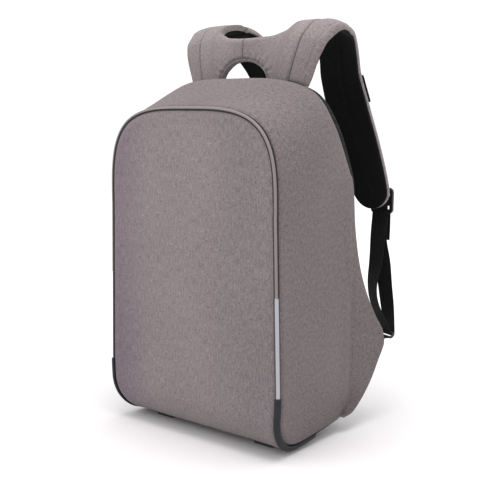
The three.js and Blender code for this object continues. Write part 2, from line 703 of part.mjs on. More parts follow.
// Feet under the bottom, each cut to the underside that it is sewn to.
function addFoot(name, x, y) {
  const lengths = [-1, -0.8, 0.8, 1];
  const corner = (u, v, top) => {
    const pinch = Math.abs(u) === 1 && Math.abs(v) === 1 ? 0.85 : 1;
    const px = x + (u * pinch * FOOT_LENGTH) / 2;
    const py = y + (v * pinch * FOOT_WIDTH) / 2;
    return point(px, py, top ? undersideHeight(px, py) + TRIM_PROUD - 1.5 * SEAM_GAP : 0);
  };
  const grid = (top) => lengths.map((u) => lengths.map((v) => corner(u, v, top)));
  addSlab(name, grid(true), grid(false), rubber);
}
addFoot('foot_front_right', FOOT_SPREAD / 2, FRONT_FOOT_SETBACK + FOOT_WIDTH / 2);
addFoot('foot_front_left', -FOOT_SPREAD / 2, FRONT_FOOT_SETBACK + FOOT_WIDTH / 2);
addFoot('foot_rear_right', FOOT_SPREAD / 2, REAR_FOOT_SETBACK + FOOT_WIDTH / 2);
addFoot('foot_rear_left', -FOOT_SPREAD / 2, REAR_FOOT_SETBACK + FOOT_WIDTH / 2);

// Course of yoke and straps in the middle of their thickness.
const HARNESS = STRAP_PAD + SEAM_GAP + LINING;
const harnessStart = point(0, TOP_DEPTH + ROOT_SETBACK + HARNESS / 2, BACK_HEIGHT - HARNESS_ROOT);
const shoulder = harnessStart.clone().add(point(0, STRAP_LEAN, STRAP_RISE));
const coursePoints = [
  ...RISE_LINE.map((row) => harnessStart.clone().add(point(0, row.back * STRAP_LEAN, row.up * STRAP_RISE))),
  ...FALL_LINE.map((row) => shoulder.clone().add(point(0, row.back * STRAP_SETBACK, -row.down * STRAP_DROP))),
];
const course = new THREE.CatmullRomCurve3(coursePoints, false, 'centripetal');
course.arcLengthDivisions = 400;
const courseLength = course.getLength();
const shoulderLength = courseLength * findShare((u) => course.getPointAt(u).y >= shoulder.y);
const fallLength = courseLength - shoulderLength;

function findShare(test) {
  let share = 0;
  while (share < 1 && !test(share)) {
    share += 0.001;
  }
  return share;
}

const lengthAt = (at) => (at <= 1 ? at * shoulderLength : shoulderLength + (at - 1) * fallLength);
const placeAt = (length) =>
  length <= shoulderLength ? length / shoulderLength : 1 + (length - shoulderLength) / fallLength;

const seatLength = (x) => seatHeight(x) + SEAM_GAP - harnessStart.z;

// A place on the harness: x across, length along its course, height off its middle.
function harnessPoint(x, length, height) {
  const share = THREE.MathUtils.clamp(length / courseLength, 0, 1);
  const along = course.getTangentAt(share);
  const spot = course.getPointAt(share).addScaledVector(along, Math.max(0, length - courseLength));
  const lean = length < shoulderLength ? between(BRIDGE_LEAN, 1, ease(Math.abs(x), 0, STRAP_SPREAD / 2)) : 1;
  const upright = point(0, along.y * lean, along.z).normalize();
  const root = 1 - ease(length, 0, shoulderLength * 0.55);
  const behindWall = (backDepth(seatHeight(x)) - TOP_DEPTH) * root;
  const y = between(harnessStart.y, spot.y, lean) + behindWall;
  const off = height - rollAt(length, Math.abs(x));
  return point(x, y - upright.z * off, spot.z + upright.y * off);
}
// The strap's outer edge lies lower than its middle, in a soft curve.
function rollAt(length, x) {
  const at = placeAt(length);
  const outward = Math.max(0, x - centreX(at)) / (widthAt(at) / 2);
  return STRAP_ROLL * readTable(STRAP_LINE, at, 'roll') * Math.pow(outward, 1.5);
}

const seamX = (at) => readTable(STRAP_LINE, at, 'seam') * STRAP_SPREAD;
const centreX = (at) => readTable(STRAP_LINE, at, 'centre') * STRAP_SPREAD;
const widthAt = (at) => readTable(STRAP_LINE, at, 'width') * STRAP_WIDTH;
const OUTER_FACE = HARNESS / 2;
const PAD_FACE = OUTER_FACE - STRAP_PAD;
const LINING_FACE = -HARNESS / 2;

// Shoulder pad of the strap, with a rounded free end.
const TONGUE_END = YOKE_LINE.at(-1).high;
const endRound = widthAt(2) / 2;
function strapSides(length) {
  const at = placeAt(length);
  const centre = centreX(at);
  const half = widthAt(at) / 2;
  const toEnd = courseLength - length;
  const round = toEnd < endRound ? Math.sqrt(Math.max(0, 1 - Math.pow(1 - toEnd / endRound, 2))) : 1;
  const inner = at <= TONGUE_END ? seamX(at) + SEAM_GAP / 2 : centre - half * round;
  return { inner, outer: centre + half * round };
}
const rootLength = seatLength(seamX(0));
const ROOT_ROWS = 8;
const rootLengths = range(ROOT_ROWS, (i) => between(rootLength, lengthAt(TONGUE_END), i / (ROOT_ROWS - 1)));
const strapLengths = [
  ...rootLengths,
  ...range(18, (i) => between(lengthAt(TONGUE_END) + SEAM_GAP, courseLength - endRound, i / 17)),
  ...range(6, (i) => courseLength - endRound * Math.pow(1 - (i + 1) / 6, 2)),
];
// The first section stands on the back panel all the way across.
const seated = (length, x) => (length === rootLength ? seatLength(x) + 2.5 * SEAM_GAP : length);
function padOutline(length, from, to) {
  const { inner, outer } = strapSides(length);
  const middle = (inner + outer) / 2;
  const half = Math.max((outer - inner) / 2, 2);
  const low = from + 1;
  const high = to - 2.5;
  const shape = [
    [-0.9, from],
    [0, from],
    [0.9, from],
    [1, low],
    [1, high],
    [0.88, to],
    [0, to + 1],
    [-0.88, to],
    [-1, high],
    [-1, low],
  ];
  return shape.map(([share, height]) => {
    const x = middle + share * half;
    return harnessPoint(x, seated(length, x), height);
  });
}
function liningRow(length, height) {
  const { inner, outer } = strapSides(length);
  const across = [inner + 0.5, between(inner, outer, 0.5), outer - 0.5];
  return across.map((x) => harnessPoint(x, seated(length, x), height));
}
['right', 'left'].forEach((side) => {
  const turn = side === 'right' ? (p) => p : mirrored;
  const pad = strapLengths.map((length) => padOutline(length, PAD_FACE, OUTER_FACE - 1).map(turn));
  addLoft(`strap_${side}`, pad, greyCloth);
  const grid = (height) => strapLengths.slice(0, -1).map((length) => liningRow(length, height).map(turn));
  addSlab(`strap_lining_${side}`, grid(PAD_FACE - SEAM_GAP), grid(LINING_FACE), blackMesh);
});

// Yoke between both straps, arched over the handle gap.
function yokeColumn(row, sign, height) {
  const gap = SEAM_GAP / 2;
  const low = seatLength(row.across * seamX(0)) + row.low * HANDLE_GAP_HEIGHT;
  const high = lengthAt(row.high);
  return range(ROOT_ROWS, (i) => {
    const length = between(low, high, i / (ROOT_ROWS - 1));
    const x = row.across * (seamX(placeAt(length)) - gap);
    return harnessPoint(sign * x, length, height);
  });
}
function yokeGrid(height) {
  const right = YOKE_LINE.map((row) => yokeColumn(row, 1, height));
  const left = YOKE_LINE.slice(1).reverse().map((row) => yokeColumn(row, -1, height));
  return [...left, ...right];
}
addSlab('yoke', yokeGrid(OUTER_FACE), yokeGrid(PAD_FACE), greyCloth);
addSlab('yoke_lining', yokeGrid(PAD_FACE - SEAM_GAP), yokeGrid(LINING_FACE), blackMesh);

// Band across the outer face of each strap.
function bandRow(length, height) {
  const { inner, outer } = strapSides(length);
  return [inner - 1, between(inner, outer, 0.5), outer + 1].map((x) => harnessPoint(x, length, height));
}
const BAND_FOOT = OUTER_FACE + 1.5 * SEAM_GAP;
const bandLengths = range(3, (i) => shoulderLength + BAND_PLACE + (BAND_HEIGHT * i) / 2);
['right', 'left'].forEach((side) => {
  const turn = side === 'right' ? (p) => p : mirrored;
  const grid = (height) => bandLengths.map((length) => bandRow(length, height).map(turn));
  addSlab(`strap_band_${side}`, grid(BAND_FOOT + BAND_THICKNESS), grid(BAND_FOOT), blackWeb);
});

// Adjuster on the outer face of each strap's end: a frame with two slots.
const LOCK_WIDTH = WEBBING_WIDTH + 2 * LOCK_BORDER + 1;
const endX = centreX(2) + LOCK_OFFSET;
const lockFoot = courseLength + LOCK_DROP;
const lockBase = OUTER_FACE + 2 * WEBBING_THICKNESS + 3 * SEAM_GAP;
function addLock(side) {
  const sign = side === 'right' ? 1 : -1;
  const half = LOCK_WIDTH / 2;
  const round = 7;
  const frame = new THREE.Shape();
  frame.moveTo(-half + round, 0);
  frame.lineTo(half - round, 0);
  frame.absarc(half - round, round, round, -Math.PI / 2, 0);
  frame.lineTo(half, LOCK_HEIGHT - round);
  frame.absarc(half - round, LOCK_HEIGHT - round, round, 0, Math.PI / 2);
  frame.lineTo(-half + round, LOCK_HEIGHT);
  frame.absarc(-half + round, LOCK_HEIGHT - round, round, Math.PI / 2, Math.PI);
  frame.lineTo(-half, round);
  frame.absarc(-half + round, round, round, Math.PI, Math.PI * 1.5);
  [LOCK_BORDER, LOCK_HEIGHT - LOCK_BORDER - LOCK_SLOT].forEach((low) => {
    const slot = new THREE.Path();
    const reach = WEBBING_WIDTH / 2 + 0.5;
    slot.moveTo(-reach, low);
    slot.lineTo(-reach, low + LOCK_SLOT);
    slot.lineTo(reach, low + LOCK_SLOT);
    slot.lineTo(reach, low);
    frame.holes.push(slot);
  });
  const plate = new THREE.ExtrudeGeometry(frame, { depth: LOCK_THICKNESS, bevelEnabled: false, curveSegments: 3 });
  const foot = harnessPoint(endX, lockFoot, lockBase);
  const head = harnessPoint(endX, lockFoot - LOCK_HEIGHT, lockBase);
  const up = head.clone().sub(foot).normalize();
  const out = point(0, up.z, -up.y);
  plate.applyMatrix4(new THREE.Matrix4().makeBasis(RIGHT, up, out).setPosition(foot));
  const corners = [];
  const place = plate.getAttribute('position');
  for (let i = 0; i < place.count; i += 1) {
    corners.push(point(sign * place.getX(i), place.getY(i), place.getZ(i)));
  }
  addBody(`adjuster_${side}`, corners, range(place.count / 3, (i) => [3 * i, 3 * i + 1, 3 * i + 2]), blackPlastic);
}

// Ring behind the tip of each wing: two bars across, joined by short sides.
const tipLength = archStart * WING_LINE.find((row) => row.back === 1).at;
const wingTip = rearEdgeAt(tipLength).corner;
const barCentre = wingTip.clone().add(point(-0.3 * RING_STANDOFF, RING_STANDOFF, 0.75 * RING_STANDOFF));
const barAcross = RIGHT.clone().applyAxisAngle(UP, THREE.MathUtils.degToRad(RING_TURN));
const barBehind = UP.clone().cross(barAcross);
const toTip = wingTip.clone().sub(barCentre).projectOnPlane(barAcross).normalize();
const tabBar = barCentre.clone().addScaledVector(toTip, RING_HEIGHT);
function addRing(side) {
  const turn = side === 'right' ? (p) => p : mirrored;
  const half = WEBBING_WIDTH / 2 + 1 + RING_BAR / 2;
  const cut = RING_BAR / 2;
  const route = [
    [-half + cut, 0],
    [half - cut, 0],
    [half, cut],
    [half, RING_HEIGHT - cut],
    [half - cut, RING_HEIGHT],
    [-half + cut, RING_HEIGHT],
    [-half, RING_HEIGHT - cut],
    [-half, cut],
  ].map(([across, on]) => barCentre.clone().addScaledVector(barAcross, across).addScaledVector(toTip, on));
  const off = barAcross.clone().cross(toTip).normalize();
  const outlines = route.map((spot, i) => {
    const before = route[(i + route.length - 1) % route.length];
    const after = route[(i + 1) % route.length];
    const ahead = after.clone().sub(before).normalize();
    const aside = off.clone().cross(ahead).normalize();
    return range(6, (corner) => {
      const angle = (Math.PI * 2 * corner) / 6;
      return turn(
        spot
          .clone()
          .addScaledVector(off, (RING_BAR / 2) * Math.cos(angle))
          .addScaledVector(aside, (RING_BAR / 2) * Math.sin(angle)),
      );
    });
  });
  addLoft(`ring_${side}`, outlines, blackPlastic, true);
}

// Tab that holds the ring, twisted from the wing's edge to the ring's lower bar.
function addTab(side) {
  const turn = side === 'right' ? (p) => p : mirrored;
  const above = rearEdgeAt(tipLength + 10).corner;
  const below = rearEdgeAt(tipLength - 10).corner;
  const edge = above.clone().sub(below).normalize();
  const away = toTip.clone().negate();
  const root = wingTip.clone().addScaledVector(RIGHT, -WING_THICKNESS / 2).addScaledVector(away, SEAM_GAP + 0.6);
  const end = tabBar.clone().addScaledVector(toTip, RING_BAR / 2 + SEAM_GAP);
  const grid = (offset) =>
    range(4, (row) => {
      const share = row / 3;
      const across = edge.clone().lerp(barAcross, share).normalize();
      const off = across.clone().cross(away).normalize();
      const middle = root.clone().lerp(end, share);
      const reach = between(0.32, 0.46, share) * WEBBING_WIDTH;
      return [-reach, 0, reach].map((at) =>
        turn(middle.clone().addScaledVector(across, at).addScaledVector(off, offset * WEBBING_THICKNESS)),
      );
    });
  addSlab(`wing_tab_${side}`, grid(0.5), grid(-0.5), blackWeb);
}

// Webbing: sewn on the strap's end, down to the ring, round its upper bar, up
// again through the adjuster's lower slot and over its bar to a short free tail.
function addWebbing(side) {
  const turn = side === 'right' ? (p) => p : mirrored;
  const places = [];
  const lay = (spot, across) => places.push({ spot, across });
  const onStrap = (length, height) => lay(harnessPoint(endX, length, height), RIGHT);
  const half = WEBBING_THICKNESS / 2;
  const inner = OUTER_FACE + SEAM_GAP + half;
  const outer = lockBase - SEAM_GAP - half;
  const tail = lockBase + LOCK_THICKNESS + SEAM_GAP + half;
  const overBar = lockFoot - LOCK_BORDER - SEAM_GAP - half;
  const start = harnessPoint(endX, courseLength + 4, inner);
  const strand = (rows) =>
    rows.forEach((row) => {
      const spot = start.clone().lerp(barCentre, row.down);
      spot.x += row.out * WEBBING_BOW;
      spot.y += row.back * WEBBING_BOW;
      lay(spot, RIGHT.clone().applyAxisAngle(UP, THREE.MathUtils.degToRad(row.turn)));
    });
  onStrap(courseLength - 22, inner);
  onStrap(courseLength - 8, inner);
  strand(FRONT_STRAND);
  const reach = RING_BAR / 2 + SEAM_GAP + half + 0.1;
  range(5, (i) => (Math.PI * i) / 4).forEach((angle) => {
    const spot = barCentre
      .clone()
      .addScaledVector(barBehind, -reach * Math.cos(angle))
      .addScaledVector(UP, -reach * Math.sin(angle));
    lay(spot, barAcross);
  });
  strand(REAR_STRAND);
  onStrap(lockFoot + 4, outer);
  onStrap(lockFoot, outer);
  onStrap(overBar, outer);
  onStrap(overBar, tail);
  onStrap(lockFoot, tail);
  onStrap(lockFoot + TAIL_LENGTH / 2, tail);
  onStrap(lockFoot + TAIL_LENGTH, tail - 1);
  const outlines = places.map(({ spot, across }, i) => {
    const before = places[Math.max(i - 1, 0)].spot;
    const after = places[Math.min(i + 1, places.length - 1)].spot;
    const ahead = after.clone().sub(before).normalize();
    const flat = across.clone().multiplyScalar(WEBBING_WIDTH / 2);
    const off = across.clone().cross(ahead).normalize().multiplyScalar(half);
    return [[1, 1], [-1, 1], [-1, -1], [1, -1]].map(([u, v]) =>
      turn(spot.clone().addScaledVector(flat, u).addScaledVector(off, v)),
    );
  });
  addLoft(`webbing_${side}`, outlines, blackWeb);
}

['right', 'left'].forEach((side) => {
  addLock(side);
  addRing(side);
  addTab(side);
  addWebbing(side);
});

const boxed = new THREE.Box3().setFromObject(backpack);
backpack.position.y = -(boxed.min.y + boxed.max.y) / 2;

export default backpack;
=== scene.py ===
import math

import bmesh
import bpy
import numpy as np
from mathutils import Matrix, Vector, noise


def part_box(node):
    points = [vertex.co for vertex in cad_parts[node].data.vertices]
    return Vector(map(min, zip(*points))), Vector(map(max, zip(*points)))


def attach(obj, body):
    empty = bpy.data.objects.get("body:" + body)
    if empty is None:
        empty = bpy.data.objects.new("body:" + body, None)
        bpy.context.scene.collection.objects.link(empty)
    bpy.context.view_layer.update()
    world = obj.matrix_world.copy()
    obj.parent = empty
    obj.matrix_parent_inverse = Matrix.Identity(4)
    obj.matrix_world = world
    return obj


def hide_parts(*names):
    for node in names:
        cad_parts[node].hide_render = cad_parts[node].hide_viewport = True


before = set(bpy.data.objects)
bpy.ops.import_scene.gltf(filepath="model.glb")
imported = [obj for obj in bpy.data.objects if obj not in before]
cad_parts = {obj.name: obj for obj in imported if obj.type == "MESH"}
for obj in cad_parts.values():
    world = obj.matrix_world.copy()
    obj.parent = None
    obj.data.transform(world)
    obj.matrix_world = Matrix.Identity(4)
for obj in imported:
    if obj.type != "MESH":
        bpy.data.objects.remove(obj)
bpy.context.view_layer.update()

# Front panel. One padded panel of heather grey polyester that runs down the front, round the
# rolled lower edge and back under the body to the bottom seam. It is sewn into the edge trim,
# so it sinks a little along its whole edge and stays softly uneven in between.
FRONT_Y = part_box("arch_trim")[0][1]
BODY_WIDTH = 301.0
TOP_WIDTH = 290.0
BACK_WIDTH = 284.0
FRONT_HEIGHT = 441.0
BACK_HEIGHT = 476.0
FRONT_ARCH = 136.0
BACK_ARCH = 130.0
BODY_DEPTH = 173.0
TOP_DEPTH = 106.0
BOTTOM_DEPTH = 150.0
WIDEST_HEIGHT = 92.0
BOTTOM = 4.5
BOTTOM_ROLL = 55.0
BOTTOM_LIFT = 11.0
CORNER_TUCK = 10.5
TUCK_HEIGHT = 80.0
TRIM_RADIUS = 6.0
TRIM_PROUD = 0.5
SEAM_GAP = 0.3
FRONT_PAD = 6.0
FRONT_CROWN = 4.0
FRONT_SQUARENESS = 3.5
ROW_STEP = 3.6
SEAM_SINK, SINK_REACH = 1.5, 2.6
EDGE_SWELL, SWELL_PLACE, SWELL_REACH = 0.5, 9.0, 6.0
# Height, size and seed of each wave in the padding.
FRONT_WAVES = ((0.55, 70, 3), (0.25, 26, 9))
FRONT_ARCH_BASE = FRONT_HEIGHT - FRONT_ARCH
BACK_ARCH_BASE = BACK_HEIGHT - BACK_ARCH


def ease(value, low, high):
    share = np.clip((value - low) / (high - low), 0.0, 1.0)
    return share * share * (3.0 - 2.0 * share)


def between(start, end, share):
    return start + (end - start) * share


def unit(vectors):
    return vectors / np.maximum(np.linalg.norm(vectors, axis=-1, keepdims=True), 1e-9)


def mirrored(points):
    return points * np.array([-1.0, 1.0, 1.0])


def bell(value, middle, width):
    return np.exp(-(((value - middle) / width) ** 2))


def lengths_along(line):
    steps = np.linalg.norm(np.diff(line, axis=0), axis=1)
    return np.concatenate([[0.0], np.cumsum(steps)])


def read_table(table, name, along, key="at"):
    """One column of a table at places along it, on a smooth line through its rows."""
    at, rows = np.array(table[key], float), np.array(table[name], float)
    along = np.asarray(along, float)
    row = np.clip(np.searchsorted(at, along, side="left") - 1, 0, len(at) - 2)
    before, after = np.maximum(row - 1, 0), np.minimum(row + 2, len(at) - 1)
    span = at[row + 1] - at[row]
    t = np.clip((along - at[row]) / span, 0.0, 1.0)
    start = (rows[row + 1] - rows[before]) / (at[row + 1] - at[before]) * span
    end = (rows[after] - rows[row]) / (at[after] - at[row]) * span
    rest = 1.0 - t
    return (
        rows[row] * (1 + 2 * t) * rest * rest
        + start * t * rest * rest
        + rows[row + 1] * t * t * (3 - 2 * t)
        - end * t * t * rest
    )


def tuck(z):
    return CORNER_TUCK * np.maximum(0.0, (BOTTOM + TUCK_HEIGHT - z) / TUCK_HEIGHT) ** 2


def front_half_width(z):
    share = np.clip((z - WIDEST_HEIGHT) / (FRONT_ARCH_BASE - WIDEST_HEIGHT), 0.0, 1.0)
    return between(BODY_WIDTH, TOP_WIDTH, share) / 2 - tuck(z)


def underside(x, y):
    back = np.clip((y - BOTTOM_ROLL) / (BOTTOM_DEPTH - BOTTOM_ROLL), 0.0, 1.0)
    out = np.minimum(1.0, np.abs(x) / (front_half_width(BOTTOM) - TRIM_RADIUS - SEAM_GAP))
    front = np.clip(BOTTOM_ROLL - y, 0.0, BOTTOM_ROLL)
    rolled = BOTTOM_ROLL - np.sqrt(BOTTOM_ROLL * BOTTOM_ROLL - front * front)
    return BOTTOM + rolled + BOTTOM_LIFT * back**1.25 * out**6


def arch(half_width, base, height, squareness, angle):
    x = half_width * np.cos(angle) ** (2 / squareness)
    rise = height * np.sin(angle) ** (2 / squareness)
    facing = np.stack(
        [
            (x / half_width) ** (squareness - 1) / half_width,
            np.zeros_like(x),
            (rise / height) ** (squareness - 1) / height,
        ],
        axis=-1,
    )
    return x, base + rise, unit(facing)


def trace_front_edge(fine=60):
    share = np.arange(fine) / fine
    flat = np.ones(fine)
    x = front_half_width(BOTTOM) * flat
    y = between(BOTTOM_DEPTH, BOTTOM_ROLL, share)
    under = np.stack([x, y, underside(x, y)], -1)
    turn = math.pi / 2 * share
    z = BOTTOM + BOTTOM_ROLL * (1 - np.cos(turn))
    corner = np.stack([front_half_width(z), BOTTOM_ROLL * (1 - np.sin(turn)), z], -1)
    z = between(BOTTOM + BOTTOM_ROLL, FRONT_ARCH_BASE, share)
    side = np.stack([front_half_width(z), 0 * z, z], -1)
    angle = math.pi / 2 * (np.arange(6 * fine + 1) / (6 * fine)) ** 1.5
    ax, az, facing = arch(TOP_WIDTH / 2, FRONT_ARCH_BASE, FRONT_ARCH, FRONT_SQUARENESS, angle)
    ax[-1], facing[-1] = 0.0, (0.0, 0.0, 1.0)
    top = np.stack([ax, 0 * ax, az], -1)
    right = np.tile([1.0, 0.0, 0.0], (3 * fine, 1))
    faces = np.concatenate(
        [
            np.tile([0.0, 0.0, -1.0], (fine, 1)),
            np.stack([0 * turn, -np.sin(turn), -np.cos(turn)], -1),
            np.tile([0.0, -1.0, 0.0], (fine + len(ax), 1)),
        ]
    )
    corners = np.concatenate([under, corner, side, top])
    return corners, np.concatenate([right, facing]), faces, lengths_along(corners), fine


edge_corner, edge_side, edge_face, edge_length, fine = trace_front_edge()
corner_start, corner_end, arch_start, arch_end = edge_length[[fine, 2 * fine, 3 * fine, -1]]


def edge_at(length):
    def read(values):
        return np.stack([np.interp(length, edge_length, values[:, i]) for i in range(3)], -1)

    return read(edge_corner), unit(read(edge_side)), unit(read(edge_face))


def in_from_edge(length, from_side, from_face):
    corner, side, face = edge_at(length)
    return corner - side * from_side - face * from_face


def spaced(*ends, step):
    """Places from the first end to the last that hit every end, about a step apart."""
    places = [np.array([ends[0]])]
    for start, end in zip(ends, ends[1:]):
        count = max(1, round((end - start) / step))
        places.append(np.linspace(start, end, count + 1)[1:])
    return np.concatenate(places)


def crowded(count):
    """Shares from -1 to 1 that stand closer together at both ends."""
    even = np.linspace(-1.0, 1.0, count)
    return even * (1.25 - 0.25 * even * even)


def facing_of(outside, inside):
    normal = unit(np.cross(np.gradient(outside, axis=1), np.gradient(outside, axis=0)))
    sign = np.sign(np.sum(normal * (outside - inside)))
    return normal * (sign if sign else 1.0)


def ripple(points, size, seed):
    seeded = Vector((seed, 0, 0))
    flat = [noise.noise(Vector(spot) / size + seeded) for spot in points.reshape(-1, 3)]
    return np.array(flat).reshape(points.shape[:-1])


def waves(points, rows):
    return sum(height * ripple(points, size, seed) for height, size, seed in rows)


def distance_to(points, line):
    rows = [np.linalg.norm(row[:, None] - line[None], axis=-1).min(axis=1) for row in points]
    return np.array(rows)


def coords_of(across, along):
    """Cloth coordinates in metres, from millimetres across and along the cloth."""
    return np.stack(np.broadcast_arrays(across, along), -1) / 1000


def weave_of(grid):
    """Cloth coordinates of a grid, measured across and along it."""
    across = np.linalg.norm(np.diff(grid, axis=1), axis=-1)
    u = np.concatenate([np.zeros((len(grid), 1)), np.cumsum(across, axis=1)], axis=1)
    u -= u[:, [-1]] / 2
    along = np.linalg.norm(np.diff(grid, axis=0), axis=-1).mean(axis=1)
    v = np.concatenate([[0.0], np.cumsum(along)])
    return coords_of(u, v[:, None])


def make_tube(name, loops, coords, caps=None, ring=False, sharp=50):
    """A closed body through rows of closed outlines, with cloth coordinates on it."""
    rows, size = loops.shape[:2]
    at = loops.reshape(-1, 3) / 1000 + np.array([0.0, FRONT_Y, 0.0])
    faces = []
    for row in range(rows if ring else rows - 1):
        here, ahead = row * size, ((row + 1) % rows) * size
        for i in range(size):
            j = (i + 1) % size
            faces.append((here + i, here + j, ahead + j, ahead + i))
    if not ring:
        last = (rows - 1) * size
        for cap in caps or [list(range(size))]:
            faces.append(tuple(cap))
            faces.append(tuple(last + i for i in reversed(cap)))
    mesh = bpy.data.meshes.new(name)
    mesh.from_pydata(at.tolist(), [], faces)
    layer = mesh.uv_layers.new(name="weave")
    corners = np.empty(len(mesh.loops), dtype=np.int32)
    mesh.loops.foreach_get("vertex_index", corners)
    layer.data.foreach_set("uv", coords.reshape(-1, 2)[corners].ravel())
    body = bmesh.new()
    body.from_mesh(mesh)
    bmesh.ops.remove_doubles(body, verts=body.verts, dist=4e-6)
    bmesh.ops.dissolve_degenerate(body, edges=body.edges, dist=1e-6)
    bmesh.ops.recalc_face_normals(body, faces=body.faces)
    body.to_mesh(mesh)
    body.free()
    mesh.shade_smooth()
    mesh.set_sharp_from_angle(angle=math.radians(sharp))
    piece = bpy.data.objects.new(name, mesh)
    bpy.context.scene.collection.objects.link(piece)
    return piece


def make_slab(name, outside, inside, lips=(0.0, 0.0), steps=5, sharp=50, coords=None):
    """A closed cloth body between two grids, its two long edges rounded by a lip each."""
    columns = outside.shape[1]
    coords = weave_of(outside) if coords is None else coords
    angles = np.linspace(0, math.pi, steps + 2)[1:-1]

    def lip(out, near, into, full):
        away = unit(out - near) * np.linalg.norm(out - into, axis=-1, keepdims=True) / 2 * full
        middle, half = (out + into) / 2, (out - into) / 2
        return np.stack([middle + half * math.cos(a) + away * math.sin(a) for a in angles], axis=1)

    end = lip(outside[:, -1], outside[:, -2], inside[:, -1], lips[1])
    start = lip(outside[:, 0], outside[:, 1], inside[:, 0], lips[0])[:, ::-1]
    loops = np.concatenate([outside, end, inside[:, ::-1], start], axis=1)
    edge = np.repeat(coords[:, [-1]], steps, axis=1)
    first = np.repeat(coords[:, [0]], steps, axis=1)
    uv = np.concatenate([coords, edge, coords[:, ::-1], first], axis=1)
    inner = [columns + steps + columns - 1 - i for i in range(columns)]
    caps = [[i, i + 1, inner[i + 1], inner[i]] for i in range(columns - 1)]
    caps.append([columns - 1, *range(columns, columns + steps), inner[-1]])
    caps.append([inner[0], *range(2 * columns + steps, 2 * columns + 2 * steps), 0])
    return make_tube(name, loops, uv, caps, sharp=sharp)


class Flow:
    """A socket in a node tree. It takes part in sums, and nodes are added behind it."""

    def __init__(self, tree, socket=None):
        self.tree = tree
        self.socket = socket

    def add(self, kind, settings=None, inputs=None, output=0):
        node = self.tree.nodes.new(kind)
        for name, value in (settings or {}).items():
            setattr(node, name, value)
        for key, value in (inputs or {}).items():
            if isinstance(value, Flow):
                self.tree.links.new(value.socket, node.inputs[key])
            else:
                node.inputs[key].default_value = value
        return Flow(self.tree, node.outputs[output] if len(node.outputs) else None)

    def sum(self, operation, *terms):
        return self.add("ShaderNodeMath", {"operation": operation}, dict(enumerate(terms)))

    def __add__(self, other):
        return self.sum("ADD", self, other)

    def __sub__(self, other):
        return self.sum("SUBTRACT", self, other)

    def __rsub__(self, other):
        return self.sum("SUBTRACT", other, self)

    def __mul__(self, other):
        return self.sum("MULTIPLY", self, other)

    __radd__ = __add__
    __rmul__ = __mul__

    def within(self, low, high, to_low=0.0, to_high=1.0):
        inputs = {0: self, 1: low, 2: high, 3: to_low, 4: to_high}
        return self.add("ShaderNodeMapRange", {"interpolation_type": "SMOOTHSTEP"}, inputs)

    def mix(self, first, second, blend="MIX"):
        settings = {"data_type": "RGBA", "blend_type": blend}
        return self.add("ShaderNodeMix", settings, {0: self, 6: first, 7: second}, 2)

    def part(self, axis):
        return self.add("ShaderNodeSeparateXYZ", None, {0: self}, axis)

    def noise(self, scale=1.0, detail=2.0):
        inputs = {"Vector": self, "Scale": float(scale), "Detail": detail}
        return self.add("ShaderNodeTexNoise", None, inputs)


def start_material(name):
    material = bpy.data.materials.new(name)
    material.use_nodes = True
    material.node_tree.nodes.clear()
    return material, Flow(material.node_tree)


def end_material(material, flow, color, roughness, bump=None, depth=0.0002, **settings):
    inputs = {"Base Color": color, "Roughness": roughness, **settings}
    if bump is not None:
        relief = {"Strength": 1.0, "Distance": depth, "Height": bump}
        inputs["Normal"] = flow.add("ShaderNodeBump", None, relief)
    shader = flow.add("ShaderNodeBsdfPrincipled", None, inputs)
    flow.add("ShaderNodeOutputMaterial", None, {0: shader})
    return material


def rgb(red, green, blue, gain=1.0):
    """A colour read from the photograph, as light."""
    def light(value):
        value /= 255
        return gain * (value / 12.92 if value <= 0.04045 else ((value + 0.055) / 1.055) ** 2.4)

    return (light(red), light(green), light(blue), 1.0)


def weave_place(flow, across=1.0, along=1.0):
    uv = flow.add("ShaderNodeUVMap", {"uv_map": "weave"})
    return flow.add("ShaderNodeMapping", None, {"Vector": uv, "Scale": (across, along, 1.0)})


def threads(flow, pitch):
    """Height of a plain weave: raised where one thread crosses over the other."""
    place = weave_place(flow, math.tau / pitch, math.tau / pitch)
    return flow.sum("SINE", place.part(0)) * flow.sum("SINE", place.part(1))


def heather(name, dark, light, contrast, streak=(1150, 330), patch=(420, 90), painted_shades=()):
    """Cloth of lighter and darker grey yarns, with short streaks along the warp.

    A painted shade multiplies the colour with a darker one, taking hold between two places across the
    cloth.
    """
    material, flow = start_material(name)
    fine = weave_place(flow, *streak).noise()
    broad = weave_place(flow, *patch).noise(detail=1.0)
    cloud = weave_place(flow, 9, 6).noise(detail=1.0)
    share = 0.5 + contrast * (fine - 0.5) + contrast * 0.45 * (broad - 0.5) + 0.3 * (cloud - 0.5)
    color = flow.sum("MAXIMUM", flow.sum("MINIMUM", share, 1.0), 0.0).mix(dark, light)
    # Painted shade: each one darkens the colour across part of the cloth.
    for start, end, painted_shade in painted_shades:
        color = weave_place(flow).part(0).within(start, end).mix(color, painted_shade, "MULTIPLY")
    height = threads(flow, 0.0011) * 0.5 + fine
    finish = {"Sheen Weight": 0.1, "Sheen Roughness": 0.6, "Specular IOR Level": 0.2}
    return end_material(material, flow, color, 0.92, height, 0.00018, **finish)


FRONT_YARNS = rgb(95, 86, 88, 0.93), rgb(150, 139, 140, 0.93)
# Painted shade on the front panel: the left edge darkened with a mauve cast, the right side darkened a
# little, the middle left lighter.
FRONT_EDGE_SHADES = (
    (-0.05, -0.145, (0.76, 0.72, 0.82, 1.0)),
    (0.0, 0.13, (0.84, 0.88, 0.88, 1.0)),
)
front_cloth = heather("front_heather", *FRONT_YARNS, 1.9, painted_shades=FRONT_EDGE_SHADES)


def dress(piece, material, slot, *nodes):
    piece.data.materials.append(material)
    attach(piece, "root")
    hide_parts(*nodes)


row_places = spaced(0.0, corner_start, corner_end, arch_start, arch_end, step=ROW_STEP)
seam_line = in_from_edge(np.linspace(0, arch_end, 900), TRIM_RADIUS + SEAM_GAP, TRIM_PROUD)
seam_line = np.concatenate([seam_line, mirrored(seam_line)])


